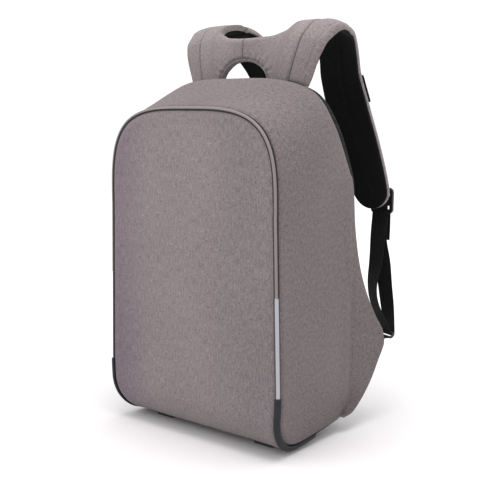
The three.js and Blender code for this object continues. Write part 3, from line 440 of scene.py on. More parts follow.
def front_grid(depth, columns=91):
    edge = in_from_edge(row_places, TRIM_RADIUS + SEAM_GAP, depth)
    face = edge_at(row_places)[2]
    top = FRONT_HEIGHT - TRIM_RADIUS - SEAM_GAP
    height = ease(edge[:, 2], BOTTOM + BOTTOM_ROLL, FRONT_HEIGHT / 2)
    height = height * ease(top - edge[:, 2], 0, FRONT_ARCH / 2)
    out = crowded(columns)
    crown = FRONT_CROWN * height[:, None] * np.cos(math.pi / 2 * out)[None, :]
    x = out[None, :] * edge[:, [0]]
    under = ((edge[:, 1] > BOTTOM_ROLL) & (face[:, 1] > -0.01))[:, None]
    lift = underside(x, edge[:, [1]]) - underside(edge[:, [0]], edge[:, [1]])
    y = edge[:, [1]] - crown
    z = edge[:, [2]] + np.where(under, lift, 0.0)
    return np.stack([x, y, z], -1)


outside, inside = front_grid(TRIM_PROUD), front_grid(TRIM_PROUD + FRONT_PAD)
normal = facing_of(outside, inside)
from_seam = distance_to(outside, seam_line)
sink = SEAM_SINK * bell(from_seam, 0, SINK_REACH)
sink = sink - EDGE_SWELL * bell(from_seam, SWELL_PLACE, SWELL_REACH)
soft = ease(from_seam, 2, 25) * waves(outside, FRONT_WAVES)
outside = outside + normal * (soft - sink)[..., None]
front_panel = make_slab("front_panel_cloth", outside, inside, steps=1)
dress(front_panel, front_cloth, "front_cloth", "front_panel")

# Sides and top. One gusset of the same heather cloth, cut in one run from the bottom seam up one
# side, over the top and down the other side. Its rear edge flares into two soft wings that run
# back to the strap rings, with a soft crease where they leave the body.
CLOTH = 3.0
SIDE_BULGE = 2.5
TOP_BULGE = 9.0
WING_REACH = 62.0
WING_HEIGHT = 118.0
WING_FLARE = 15.0
WING_THICKNESS = 5.0
BACK_SQUARENESS = 4.0
BULGE_SKEW = 1.6
TRIM_SINK, TRIM_REACH = 3.0, 2.6
REAR_SINK, REAR_REACH = 1.3, 3.0
BACK_LINE = {
    "at": (-0.45, -0.2, 0.0, 0.2, 0.45, 0.64, 0.78, 0.89, 0.95, 1.0),
    "forward": (0.0, 0.0, 0.07, 0.27, 0.52, 0.7, 0.78, 0.82, 0.91, 1.0),
}
WING_LINE = {
    "at": (0.0, 0.07, 0.16, 0.26, 0.35, 0.42, 0.47, 0.53, 0.61, 0.69, 0.79, 0.89, 1.0),
    "back": (-0.36, -0.09, 0.24, 0.57, 0.84, 1.0, 0.96, 0.7, 0.4, 0.2, 0.08, 0.02, 0.0),
    "out": (0.3, 0.45, 0.53, 0.66, 0.76, 0.92, 0.8, 0.68, 0.44, 0.28, 0.13, 0.03, 0.0),
    "up": (0.19, 0.22, 0.34, 0.53, 0.75, 0.93, 1.0, 1.0, 1.0, 1.0, 1.0, 1.0, 1.0),
    "rise": (0.0, 0.0, 0.0, 0.0, 0.0, 0.0, 0.06, 0.155, 0.31, 0.465, 0.64, 0.82, 1.0),
}
# Painted shade: the side and top are the same cloth as the front, given darker yarns so that they read as
# turned from the light.
SHADED_SIDE_YARNS = rgb(79, 72, 73, 0.87), rgb(132, 122, 123, 0.87)
# Painted shade in the gully at the front seam, with its dark thread: the outermost 1.2 to 2.4 mm of the
# wall is darkened.
SEAM_GULLY_SHADE = (0.0024, 0.0012, (0.2, 0.19, 0.2, 1.0))
side_cloth = heather("side_heather_shaded", *SHADED_SIDE_YARNS, 2.1, (900, 700), (260, 200), [SEAM_GULLY_SHADE])


def back_half_width(z):
    return BACK_WIDTH / 2 - 0.7 * tuck(z)


def back_depth(z):
    share = np.clip((z - BACK_ARCH_BASE) / BACK_ARCH, -0.45, 1.0)
    return between(BODY_DEPTH, TOP_DEPTH, read_table(BACK_LINE, "forward", share))


def rear_edge(length):
    """Corner and sideways direction of the rear edge, beside each length of the front edge."""
    length = np.atleast_1d(np.asarray(length, float))
    along = np.minimum(length / arch_start, 1.0)
    back, rise = (read_table(WING_LINE, name, along) for name in ("back", "rise"))
    up = np.minimum(1.0, read_table(WING_LINE, "up", along)) * WING_HEIGHT
    z = between(up, BACK_ARCH_BASE, np.maximum(0.0, rise))
    y = np.where(back >= 0, back_depth(z) + back * WING_REACH, BODY_DEPTH + back * WING_REACH)
    x = BACK_WIDTH / 2 + WING_FLARE * read_table(WING_LINE, "out", along)
    corner = np.stack([x, y, z], -1)
    side = np.tile([1.0, 0.0, 0.0], (len(length), 1))
    over = length > arch_start
    share = np.clip((length[over] - arch_start) / (arch_end - arch_start), 0.0, 1.0)
    angle = math.pi / 2 * share**1.6
    ax, az, facing = arch(BACK_WIDTH / 2, BACK_ARCH_BASE, BACK_ARCH, BACK_SQUARENESS, angle)
    ax = np.where(share >= 1, 0.0, ax)
    facing[share >= 1] = (0.0, 0.0, 1.0)
    corner[over] = np.stack([ax, back_depth(az), az], -1)
    side[over] = facing
    return corner, side


def wall_half(depth, front_columns=46, wing_columns=18):
    """The right half of the wall, so deep under its outer face: body first, then wing."""
    places = row_places
    front_side = edge_at(places)[1]
    start = in_from_edge(places, TRIM_PROUD, TRIM_RADIUS + SEAM_GAP)
    rear, rear_side = rear_edge(places)
    run = rear[:, 1] - start[:, 1]
    crease_share = np.minimum(0.85, (BODY_DEPTH - start[:, 1]) / run)[:, None]
    crease = start + (rear - start) * crease_share
    arched = ease(places, arch_start, arch_end)[:, None]
    low = places <= arch_start
    crease[low, 0] = np.minimum(crease[low, 0], back_half_width(crease[low, 2]))
    out = unit(between(front_side, rear_side, 0.5))
    bulge, skew = between(SIDE_BULGE, TOP_BULGE, arched), between(1.0, BULGE_SKEW, arched)
    full = np.where(arched > 0, 1.0, crease_share)
    along = np.linspace(0, 1, front_columns)
    share = along[None, :] * crease_share
    body = start[:, None] + (crease - start)[:, None] * along[None, :, None]
    swell = bulge * np.sin(math.pi * np.minimum(1.0, share / full) ** skew)
    body = body + out[:, None] * (swell - depth)[..., None]
    along = np.linspace(0, 1, wing_columns + 1)[1:]
    share = between(crease_share, 1.0, along[None, :])
    wing = crease[:, None] + (rear - crease)[:, None] * along[None, :, None]
    swell = np.where(arched > 0, bulge * np.sin(math.pi * share**skew), 0.0)
    thick = ease(rear[:, [1]] - BODY_DEPTH, 2, WING_REACH / 2) * ease(along[None, :], 0, 0.6)
    wall = between(depth, WING_THICKNESS, thick) if depth > 0 else 0.0 * thick
    wing = wing + out[:, None] * (swell - wall)[..., None]
    return np.concatenate([body, wing], axis=1)


def whole(half):
    return np.concatenate([half, mirrored(half[:-1])[::-1]], axis=0)


outside, inside = whole(wall_half(0.0)), whole(wall_half(CLOTH))
normal = facing_of(outside, inside)
coords = weave_of(outside)
coords[..., 0] -= coords[:, [0], 0]
run = np.linalg.norm(np.diff(outside, axis=1), axis=-1)
from_front = np.concatenate([np.zeros((len(run), 1)), np.cumsum(run, axis=1)], axis=1)
from_rear = from_front[:, [-1]] - from_front
behind = outside[..., 1] - BODY_DEPTH
rear_sewn = outside[..., 2] > BACK_ARCH_BASE
sink = TRIM_SINK * bell(from_front, 0, TRIM_REACH)
sink = sink + REAR_SINK * bell(from_rear, 0, REAR_REACH) * rear_sewn
crease_line = 0.7 * bell(behind, -16, 9) - 1.1 * bell(behind, -2, 5)
crease_line = crease_line * (1 - ease(outside[..., 2], 120, 330)) * ease(outside[..., 2], 20, 70)
soft = 0.9 * ripple(outside * np.array([1, 1, 0.55]), 58, 5) + 0.35 * ripple(outside, 24, 12)
soft = soft * ease(from_front, 2, 20) * ease(from_rear, 1, 14)
shift = (soft - sink + crease_line)[..., None] * normal
side_wall = make_slab(
    "side_and_top_cloth", outside + shift, inside + 0.8 * shift, lips=(0.0, 0.9), coords=coords
)
dress(side_wall, side_cloth, "side_cloth", "side_and_top_wall")


def cloth_area(grid):
    across, along = np.diff(grid, axis=1)[:-1], np.diff(grid, axis=0)[:, :-1]
    return float(np.linalg.norm(np.cross(across, along), axis=-1).sum()) / 1e6


def declare_sheet(piece, grid):
    """The flat size of a sheet, measured on its grid and printed."""
    width = float(np.linalg.norm(np.diff(grid, axis=1), axis=-1).sum(axis=1).max()) / 1000
    length = float(np.linalg.norm(np.diff(grid, axis=0), axis=-1).sum(axis=0).max()) / 1000
    area = cloth_area(grid)
    print(f"FLAT {piece.name} {width:.3f} {length:.3f} {area:.4f}")


declare_sheet(side_wall, outside)

# Edge trim round the front. Piping of the same cloth with a gully on both sides runs over
# the top and down to the reflective strips; the gullies' darkness is painted shade on the piping, with
# its dark thread. Below them two moulded rubber guards wrap the lower corners, and thinner piping
# finishes the rear of the bottom edge.
STRIP_LOW, STRIP_HIGH, GUARD_END = 86.0, 211.0, 96.0
# Radius of the base, height of the bead on it and half the angle that the bead takes up.
ARCH_PIPING = {"base": 4.1, "bead": 2.3, "spread": 26}
REAR_PIPING = {"base": 3.9, "bead": 1.2, "spread": 33, "radius": TRIM_RADIUS - 0.3}
STRIP_PIPING = {"base": 5.2, "bead": 0.9, "spread": 36}
GUARD_RUBBER = {"base": 6.1, "bead": 1.6, "spread": 46, "blunt": 3.0}
TRIM_WRAP = 9.5


def length_at_height(z):
    upright = slice(2 * fine, 4 * fine)
    return float(np.interp(z, edge_corner[upright, 2], edge_length[upright]))


strip_low, strip_high = length_at_height(STRIP_LOW), length_at_height(STRIP_HIGH)
guard_end = float(np.interp(-GUARD_END, -edge_corner[:fine, 1], edge_length[:fine]))


def trim_loops(start, end, base, bead, spread, blunt=0.0, radius=TRIM_RADIUS):
    """Sections of the trim between two lengths: a flat base with a bead in its middle."""
    places = spaced(start, end, step=3.0)
    if blunt:
        near = np.linspace(0, blunt, 6)[:-1]
        middle = places[(places > start + blunt) & (places < end - blunt)]
        places = np.concatenate([start + near, middle, end - near[::-1]])
    corner, side, face = edge_at(places)
    heel = corner - (side + face) * TRIM_RADIUS
    angle = np.linspace(0, math.pi / 2, 17)
    rise = np.sqrt(np.maximum(0.0, 1 - ((angle - math.pi / 4) / math.radians(spread)) ** 2))
    from_end = np.minimum(places - start, end - places)
    reach = np.minimum(from_end / blunt, 1.0) if blunt else 1 + 0 * places
    dome = np.sqrt(np.maximum(0.0, 1 - (1 - reach) ** 2))
    size = radius - TRIM_RADIUS + (base + bead * rise)[None, :] * (1 - 0.22 * (1 - dome))[:, None]
    spots = heel[:, None] + size[..., None] * (
        side[:, None] * np.cos(angle)[None, :, None] + face[:, None] * np.sin(angle)[None, :, None]
    )
    loops = np.concatenate([heel[:, None], spots], axis=1)
    wrap = np.concatenate([[0.0], angle / (math.pi / 2)]) * TRIM_WRAP
    return loops, coords_of(wrap[None, :], places[:, None])


def shaded(tone, gain):
    return tuple(min(1.0, value * gain) for value in tone[:3]) + (1.0,)


def trim_material(name, middle, gully, roughness, middle_place, low, high, streaky):
    """A light bead between two dark sides, which start between low and high off its middle; on the piping
    they are painted shade of its gullies, with their dark thread.
    """
    material, flow = start_material(name)
    across = weave_place(flow, 1000 / TRIM_WRAP).part(0)
    off = flow.sum("ABSOLUTE", across - middle_place)
    bead = weave_place(flow, 900, 300).noise().mix(shaded(middle, 1 - 0.3 * streaky), middle)
    color = off.within(low, high).mix(bead, gully)
    return end_material(material, flow, color, roughness, threads(flow, 0.0009), 0.0001 * streaky)


# Painted shade: the piping's dark sides are the shade of the gullies beside it, with the dark thread in
# them.
PIPING_TONE_AND_GULLY_SHADE = rgb(136, 128, 129), rgb(38, 34, 36)
TAPE_TONES = rgb(160, 159, 166), rgb(34, 34, 38)
piping = trim_material("piping_cloth", *PIPING_TONE_AND_GULLY_SHADE, 0.85, 0.53, 0.19, 0.23, 1.0)
reflective = trim_material("reflective_tape", *TAPE_TONES, 0.45, 0.5, 0.24, 0.28, 0.1)


def dress_both(name, loops, coords, material, slot, node, sharp=50):
    """The right body and its mirror image, each standing for the node of its side."""
    pieces = {}
    for side, turned_loops in (("right", loops), ("left", mirrored(loops))):
        pieces[side] = make_tube(f"{name}_{side}", turned_loops, coords, sharp=sharp)
        dress(pieces[side], material, slot, f"{node}_{side}")
    return pieces


loops, coords = trim_loops(strip_high, arch_end, **ARCH_PIPING)
arch_trim = make_tube("arch_piping", whole(loops), np.concatenate([coords, coords[:-1][::-1]]))
dress(arch_trim, piping, "side_cloth", "arch_trim")
loops, coords = trim_loops(0.0, guard_end - SEAM_GAP, **REAR_PIPING)
dress_both("rear_piping_cloth", loops, coords, piping, "side_cloth", "rear_piping")
loops, coords = trim_loops(strip_low, strip_high - SEAM_GAP, **STRIP_PIPING)
dress_both("reflective_tape", loops, coords, reflective, "reflective", "reflective_strip")

guard_rubber, flow = start_material("guard_rubber")
speck, scuff = weave_place(flow, 2500, 2500).noise(), weave_place(flow, 200, 60).noise()
tone, gloss = scuff.mix(rgb(26, 28, 32), rgb(40, 42, 47)), speck.within(0.3, 0.7, 0.46, 0.62)
finish = {"Specular IOR Level": 0.22}
guard_rubber = end_material(guard_rubber, flow, tone, gloss, speck, 0.00006, **finish)
loops, coords = trim_loops(guard_end, strip_low - SEAM_GAP, **GUARD_RUBBER)
dress_both("corner_guard_rubber", loops, coords, guard_rubber, "guard_rubber", "corner_guard")

# Back panel. A padded panel of black spacer mesh inside the side wall, which the photograph
# shows only as a thin crescent. The rest is plain: two long pads with a channel between them,
# sewn to a flat border that carries the zip.
PANEL_SEAT, PANEL_PROUD, PANEL_PAD, PANEL_CORE = 4.0, 13.0, 6.0, 9.0
ZIP_INSET, ZIP_WIDTH = 9.0, 5.0
REAR_ROLL = 24.0
CHANNEL_DEPTH, CHANNEL_REACH = 5.5, 15.0
BROW_DEPTH, BROW_REACH = 1.4, 2.5
PANEL_BOTTOM = BOTTOM + BOTTOM_LIFT + TRIM_PROUD + FRONT_PAD + SEAM_GAP
PANEL_FLANGE = ZIP_INSET + 2 * ZIP_WIDTH


def spacer_mesh(name, tone, pitch=0.0034):
    """Black knitted spacer mesh: small round holes in staggered rows."""
    material, flow = start_material(name)
    rows = {"Vector": weave_place(flow, 1 / pitch, 1 / pitch), "Scale": 1.0, "Randomness": 0.25}
    deep = flow.add("ShaderNodeTexVoronoi", {"feature": "F1"}, rows).within(0.12, 0.42)
    yarn = weave_place(flow, 60, 25).noise().mix(tone, shaded(tone, 1.5))
    # Painted shade in the holes: their colour is darkened to about a third of the yarn's.
    color = deep.mix(shaded(tone, 0.35), yarn)
    finish = {"Sheen Weight": 0.02, "Specular IOR Level": 0.1}
    return end_material(material, flow, color, 0.92, deep, 0.0004, **finish)


panel_mesh = spacer_mesh("back_spacer_mesh", rgb(34, 34, 36))


def panel_front(z):
    roll = np.clip((PANEL_BOTTOM + REAR_ROLL - z) / REAR_ROLL, 0.0, 1.0)
    foot = BODY_DEPTH - BOTTOM_DEPTH - PANEL_SEAT - SEAM_GAP
    return back_depth(z) - foot * (1 - np.sqrt(1 - roll * roll)) - PANEL_SEAT


def panel_rear(z):
    low = ease(z, 0, PANEL_BOTTOM + 2 * REAR_ROLL)
    tall = ease(z, BACK_ARCH_BASE - BACK_ARCH / 2, BACK_ARCH_BASE + BACK_ARCH / 2)
    return panel_front(z) + PANEL_SEAT + PANEL_PROUD * low * between(0.5, 1.0, tall)


side_heights = spaced(PANEL_BOTTOM, BACK_ARCH_BASE, step=4.0)[:-1]
arch_places = spaced(arch_start, arch_end, step=ROW_STEP)


def panel_edge(inset):
    low = np.stack([back_half_width(side_heights) - inset, 0 * side_heights, side_heights], -1)
    corner, side = rear_edge(arch_places)
    corner[0], side[0] = (BACK_WIDTH / 2, BODY_DEPTH, BACK_ARCH_BASE), (1.0, 0.0, 0.0)
    sides = np.concatenate([np.tile([1.0, 0.0, 0.0], (len(low), 1)), side])
    return np.concatenate([low, corner - side * inset]), sides


panel_rim = panel_edge(CLOTH + SEAM_GAP)[0]


def seat_height(x):
    """Height of the panel's upper edge, which the yoke and the straps stand on."""
    top = panel_rim[len(side_heights) + 1 :][::-1]
    return np.interp(np.abs(x), top[:, 0], top[:, 2])


def panel_grid(rear, columns=97):
    edge = panel_edge(CLOTH + SEAM_GAP + (0.0 if rear else PANEL_SEAT / 2))[0]
    z = edge[:, [2]]
    out = crowded(columns)[None, :]
    x = out * edge[:, [0]]
    sag = BOTTOM_LIFT * (1 - ease(z, PANEL_BOTTOM, PANEL_BOTTOM + 2 * REAR_ROLL))
    from_side = edge[:, [0]] * (1 - np.abs(out))
    from_top = np.maximum(0.0, seat_height(x) - z)
    inward = from_side * from_top / np.maximum(1.0, np.hypot(from_side, from_top))
    inward = np.minimum(inward, z - PANEL_BOTTOM)
    pad = PANEL_PAD * ease(inward, PANEL_FLANGE, 2.2 * PANEL_FLANGE)
    if rear:
        channel = CHANNEL_DEPTH * bell(x, 0, CHANNEL_REACH)
        channel = channel * ease(inward, PANEL_FLANGE, 2 * PANEL_FLANGE)
        brow = BROW_DEPTH * bell(inward, PANEL_FLANGE + 3, BROW_REACH)
        edge_drop = 1.6 * bell(np.minimum(from_side, from_top + 3), 0, 3)
        y = panel_rear(z) + pad - channel - brow - edge_drop
    else:
        hollow = ease(inward, 0, PANEL_FLANGE)
        core = between(panel_front(z), panel_rear(z) + pad - PANEL_CORE, hollow)
        y = np.maximum(panel_front(z), core)
    return np.stack([x, y + 0 * x, z - sag * (1 - np.abs(out) ** 6)], -1)


outside, inside = panel_grid(True), panel_grid(False)
pad_top = ease(outside[..., 1], BODY_DEPTH + 2, BODY_DEPTH + 12)
outside[..., 1] += 0.5 * ripple(outside, 45, 21) * pad_top
back_panel = make_slab("back_panel_mesh", outside, inside, lips=(0.25, 0.25), steps=3)
dress(back_panel, panel_mesh, "black_mesh", "back_panel")

# Zip of the main compartment. A black coil zip up, over and down the border of the back panel,
# where the wearer's back hides it: a narrow tape with a row of coil teeth along its middle.


def webbing_cloth(name, tone, pitch=0.0028):
    """Black webbing: ribs along its length with a fine weave across them."""
    material, flow = start_material(name)
    place = weave_place(flow, math.tau / pitch, math.tau / 0.0016)
    ribs, rungs = flow.sum("SINE", place.part(0)), flow.sum("SINE", place.part(1))
    grain = weave_place(flow, 700, 700).noise(detail=1.0)
    # Painted light and shade of the ribs: crests lighter and grooves darker, mixed with random grain.
    color = (0.5 + 0.25 * ribs + 0.5 * (grain - 0.5)).mix(tone, shaded(tone, 1.9))
    height = ribs + 0.4 * rungs
    return end_material(material, flow, color, 0.62, height, 0.00022, **{"Specular IOR Level": 0.12})


zip_tape = webbing_cloth("zip_tape", rgb(20, 20, 22), 0.0011)
edge, sides = panel_edge(CLOTH + SEAM_GAP + ZIP_INSET)
edge, sides = edge[8:], sides[8:]


def zip_row(offset, height):
    spot = edge + sides * offset
    spot[:, 1] = panel_rear(spot[:, 2]) + 3 * SEAM_GAP + height
    return spot


# Half the section of the tape: share of its half width, and height.
tape = [(1.0, 0.0), (0.95, 0.6), (0.45, 0.8), (0.35, 1.0)]
section = [(share * ZIP_WIDTH / 2, height) for share, height in tape]
section += [(-offset, height) for offset, height in section[::-1]]
loops = whole(np.stack([zip_row(offset, height) for offset, height in section], axis=1))
across = np.array([offset for offset, height in section])
coords = coords_of(across[None, :], lengths_along(loops[:, 0])[:, None])
zip_piece = make_tube("zip_tape", loops, coords)
dress(zip_piece, zip_tape, "zip", "back_zip")
zip_middle = whole(zip_row(0, 1.2))


def bead_tree():
    """Beads laid along a line at an even pitch: stitches of thread, or the teeth of a zip."""
    tree = bpy.data.node_groups.new("beads_on_a_line", "GeometryNodeTree")
    kinds = {"Line": "Geometry", "Thread": "Material"}
    for name in ("Line", "Pitch", "Length", "Width", "Height", "Thread"):
        kind = kinds.get(name, "Float")
        tree.interface.new_socket(name, in_out="INPUT", socket_type=f"NodeSocket{kind}")
    tree.interface.new_socket("Beads", in_out="OUTPUT", socket_type="NodeSocketGeometry")
    given = tree.nodes.new("NodeGroupInput").outputs
    flow = Flow(tree)
    line, pitch, *size, thread = (Flow(tree, socket) for socket in given if socket.name)
    curve = flow.add("GeometryNodeMeshToCurve", None, {"Mesh": line})
    spots = flow.add("GeometryNodeResampleCurve", {"mode": "LENGTH"}, {"Curve": curve, "Length": pitch})
    tangent = flow.add("GeometryNodeInputTangent")
    turn = flow.add("FunctionNodeAlignRotationToVector", {"axis": "X"}, {"Vector": tangent})
    bead = flow.add("GeometryNodeMeshUVSphere", None, {"Segments": 8, "Rings": 5, "Radius": 0.5})
    scale = flow.add("ShaderNodeCombineXYZ", None, dict(enumerate(size)))
    inputs = {"Points": spots, "Instance": bead, "Rotation": turn, "Scale": scale}
    laid = flow.add("GeometryNodeInstanceOnPoints", None, inputs)
    real = flow.add("GeometryNodeRealizeInstances", None, {"Geometry": laid})
    painted = flow.add("GeometryNodeSetMaterial", None, {"Geometry": real, "Material": thread})
    flow.add("NodeGroupOutput", None, {"Beads": painted})
    return tree


beads = bead_tree()


def lay_beads(name, lines, thread, slot, **sizes):
    """Beads along one or more lines, kept as a plain mesh that rides with the piece."""
    source = bpy.data.meshes.new(name + "_lines")
    at, edges = [], []
    for line in lines:
        first = len(at)
        at.extend((line / 1000 + np.array([0.0, FRONT_Y, 0.0])).tolist())
        edges.extend((first + i, first + i + 1) for i in range(len(line) - 1))
    source.from_pydata(at, edges, [])
    piece = bpy.data.objects.new(name, source)
    bpy.context.scene.collection.objects.link(piece)
    modifier = piece.modifiers.new("beads", "NODES")
    modifier.node_group = beads
    for item in beads.interface.items_tree:
        if item.in_out == "INPUT" and item.name != "Line":
            modifier[item.identifier] = thread if item.name == "Thread" else sizes[item.name]
    done = bpy.data.meshes.new_from_object(piece.evaluated_get(bpy.context.evaluated_depsgraph_get()))
    piece.modifiers.clear()
    piece.data = done
    bpy.data.meshes.remove(source)
    done.name = name
    done.shade_smooth()
    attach(piece, "root")
    return piece


def plain(name, color, roughness, grain=2200, depth=0.00003, **settings):
    """One colour with a fine grain, for thread and moulded plastic."""
    material, flow = start_material(name)
    speck = flow.add("ShaderNodeTexCoord", None, None, 3).noise(grain)
    color = speck.mix(color, shaded(color, 1.25))
    return end_material(material, flow, color, roughness, speck, depth, **settings)


coil = plain("zip_coil", rgb(30, 30, 32), 0.35)
TEETH = {"Pitch": 0.0017, "Length": 0.0011, "Width": 0.0034, "Height": 0.0012}
lay_beads("zip_coil_teeth", [zip_middle], coil, "zip", **TEETH)

# Yoke and shoulder straps. Foam pads in heather cloth that rise from the top seam, meet in the
# yoke over the handle gap, turn over and fall behind the pack to a rounded end. The cloth is
# gathered round the gap, which has a narrow bound rim, and long seams divide yoke and straps.
STRAP_WIDTH, STRAP_SPREAD, STRAP_PAD, LINING = 70.0, 100.0, 9.7, 3.0
STRAP_RISE, HARNESS_ROOT, ROOT_SETBACK, STRAP_LEAN = 86.5, 13.0, 4.0, 65.5
STRAP_ROLL, STRAP_DROP, STRAP_SETBACK, BRIDGE_LEAN = 10.0, 255.0, 92.0, 0.2
ROOT_FORWARD = 2.5
HANDLE_GAP_HEIGHT = 27.0
HARNESS = STRAP_PAD + SEAM_GAP + LINING
SEATED_GAP = 2.5 * SEAM_GAP
OUTER_ROUND, INNER_ROUND, SEAM_ROUND, FOOT_ROUND = 4.5, 8.0, 2.6, 2.0
RIM_ROUND, STITCH_INSET = 10.0, 7.5
# Height, size and seed of each wave in the foam.
STRAP_WAVES = ((0.45, 22, 31), (0.4, 55, 33))
YOKE_WAVES = ((0.45, 30, 41), (0.35, 60, 44))
RISE_LINE = {
    "back": (0.0, 0.02, 0.065, 0.13, 0.22, 0.42, 0.6, 1.0),
    "up": (0.0, 0.2, 0.43, 0.6, 0.757, 0.9, 0.965, 1.0),
}
FALL_LINE = {
    "back": (0.23, 0.38, 0.55, 0.68, 0.79, 0.87, 0.91, 0.965, 1.0, 1.0),
    "down": (0.014, 0.045, 0.11, 0.186, 0.265, 0.35, 0.42, 0.614, 0.82, 1.0),
}
STRAP_LINE = {
    "at": (0.0, 0.3, 0.5, 0.65, 0.82, 0.94, 1.04, 1.15, 1.26, 1.36, 1.5, 1.67, 1.85, 1.94, 2.0),
    "centre": (0.645, 0.79, 0.86, 0.9, 0.955, 0.945, 0.905, 0.805, 0.71, 0.65, 0.69, 0.83, 1.0, 1.07, 1.09),
    "width": (0.91, 0.96, 1.0, 1.0, 1.0, 1.0, 0.97, 0.98, 0.95, 0.96, 1.0, 1.0, 0.9, 0.84, 0.82),
    "seam": (0.72, 0.82, 0.875, 0.9, 0.875, 0.85, 0.82, 0.8, 0.8, 0.8, 0.8, 0.8, 0.8, 0.8, 0.8),
    "roll": (0.0, 0.3, 0.7, 0.85, 0.7, 1.0, 1.3, 1.1, 0.5, 0.2, 0.0, 0.0, 0.0, 0.0, 0.0),
}
YOKE_LINE = {
    "across": (0.0, 0.12, 0.24, 0.36, 0.46, 0.51, 0.54, 0.62, 0.68, 0.73, 0.77, 0.88, 1.0),
    "low": (1.0, 0.97, 0.86, 0.64, 0.36, 0.12, 0.0, 0.0, 0.0, 0.0, 0.0, 0.0, 0.0),
    "high": (0.56, 0.56, 0.565, 0.57, 0.58, 0.595, 0.605, 0.635, 0.69, 0.88, 1.04, 1.04, 1.04),
}
start_y, start_z = TOP_DEPTH + ROOT_SETBACK + HARNESS / 2, BACK_HEIGHT - HARNESS_ROOT


def smooth_course(points, dense=120):
    """A smooth line through points in the plane x = 0, evenly followed by its length."""
    points = np.concatenate([[2 * points[0] - points[1]], points, [2 * points[-1] - points[-2]]])
    spots = []
    for p0, p1, p2, p3 in zip(points, points[1:], points[2:], points[3:]):
        d0, d1, d2 = (math.sqrt(np.linalg.norm(b - a)) for a, b in ((p0, p1), (p1, p2), (p2, p3)))
        t1 = ((p1 - p0) / d0 - (p2 - p0) / (d0 + d1) + (p2 - p1) / d1) * d1
        t2 = ((p2 - p1) / d1 - (p3 - p1) / (d1 + d2) + (p3 - p2) / d2) * d1
        t = (np.arange(dense) / dense)[:, None]
        square, cube = 3 * (p2 - p1) - 2 * t1 - t2, 2 * (p1 - p2) + t1 + t2
        spots.append(p1 + t1 * t + square * t**2 + cube * t**3)
    spots = np.concatenate([*spots, [points[-2]]])
    return spots, lengths_along(spots)


back, up = (np.array(column) for column in RISE_LINE.values())
rise = np.stack([start_y + back * STRAP_LEAN, start_z + up * STRAP_RISE], -1)
shoulder_y, shoulder_z = rise[-1]
back, down = (np.array(column) for column in FALL_LINE.values())
fall = np.stack([shoulder_y + back * STRAP_SETBACK, shoulder_z - down * STRAP_DROP], -1)
course, course_at = smooth_course(np.concatenate([rise, fall]))
heading = unit(np.gradient(course, course_at, axis=0))
course_length = course_at[-1]
rising = slice(0, 9 * 120)
shoulder_length = float(np.interp(shoulder_y, course[rising, 0], course_at[rising]))
fall_length = course_length - shoulder_length


def length_at(at):
    """Length along the course: 0 to 1 is the rise to the shoulder, 1 to 2 the fall behind it."""
    return np.where(at <= 1, at * shoulder_length, shoulder_length + (at - 1) * fall_length)


def place_at(length):
    past = (length - shoulder_length) / fall_length
    return np.where(length <= shoulder_length, length / shoulder_length, 1 + past)


def strap_read(name, at, size):
    return read_table(STRAP_LINE, name, at) * size


def seam_x(at):
    return strap_read("seam", at, STRAP_SPREAD)


def harness_point(x, length, height):
    """A place on the harness: across, along its course, and off the middle of its thickness."""
    x, length, height = (np.asarray(value, float) for value in (x, length, height))
    x, length, height = np.broadcast_arrays(x, length, height)
    inside_length = np.clip(length, 0, course_length)
    tangent_y, tangent_z = (np.interp(inside_length, course_at, heading[:, i]) for i in range(2))
    past = np.maximum(0.0, length - course_length)
    spot_y = np.interp(inside_length, course_at, course[:, 0]) + tangent_y * past
    spot_z = np.interp(inside_length, course_at, course[:, 1]) + tangent_z * past
    bridge = between(BRIDGE_LEAN, 1.0, ease(np.abs(x), 0, STRAP_SPREAD / 2))
    lean = np.where(length < shoulder_length, bridge, 1.0)
    scale = np.hypot(tangent_y * lean, tangent_z)
    up_y, up_z = tangent_y * lean / scale, tangent_z / scale
    root = 1 - ease(length, 0, shoulder_length * 0.55)
    behind = (back_depth(seat_height(x)) - TOP_DEPTH - ROOT_FORWARD) * root
    at = place_at(length)
    outward = np.maximum(0.0, np.abs(x) - strap_read("centre", at, STRAP_SPREAD))
    outward = outward / (strap_read("width", at, STRAP_WIDTH) / 2)
    off = height - STRAP_ROLL * read_table(STRAP_LINE, "roll", at) * outward**1.5
    return np.stack([x, between(start_y, spot_y, lean) + behind - up_z * off, spot_z + up_y * off], -1)


OUTER_FACE, LINING_FACE = HARNESS / 2, -HARNESS / 2
PAD_FACE = OUTER_FACE - STRAP_PAD
TONGUE_END = YOKE_LINE["high"][-1]
end_round = float(strap_read("width", 2.0, STRAP_WIDTH)) / 2


def seat_length(x):
    return seat_height(x) + SEAM_GAP - start_z


def strap_sides(length):
    at = place_at(length)
    centre, half = strap_read("centre", at, STRAP_SPREAD), strap_read("width", at, STRAP_WIDTH) / 2
    to_end = course_length - length
    tip = np.sqrt(np.maximum(0.0, 1 - np.clip(1 - to_end / end_round, 0.0, 1.0) ** 2))
    inner = np.where(at <= TONGUE_END, seam_x(at) + SEAM_GAP / 2, centre - half * tip)
    return inner, np.maximum(centre + half * tip, inner + 4.0)


root_length = float(seat_length(seam_x(0.0)))
tongue_length = length_at(TONGUE_END)
strap_places = np.concatenate(
    [
        np.linspace(root_length, tongue_length, 44),
        np.linspace(tongue_length + SEAM_GAP, course_length - end_round, 76),
        course_length - end_round * (1 - np.linspace(0, 1, 19)[1:]) ** 2,
    ]
)


def drop(distance, radius):
    """How far a rounded edge has sunk at a distance from it."""
    near = np.clip(radius - distance, 0.0, radius)
    return radius - np.sqrt(np.maximum(radius * radius - near * near, 0.0))


def seated(x):
    """Lengths on the strap at x: the lowest part is cut along the body's top seam."""
    base = strap_places[:, None] + 0 * x
    foot = seat_length(x) + SEATED_GAP
    share = np.clip(1 - (base - root_length) / 30, 0.0, 1.0)
    return np.maximum(base + (foot - root_length) * share, foot)


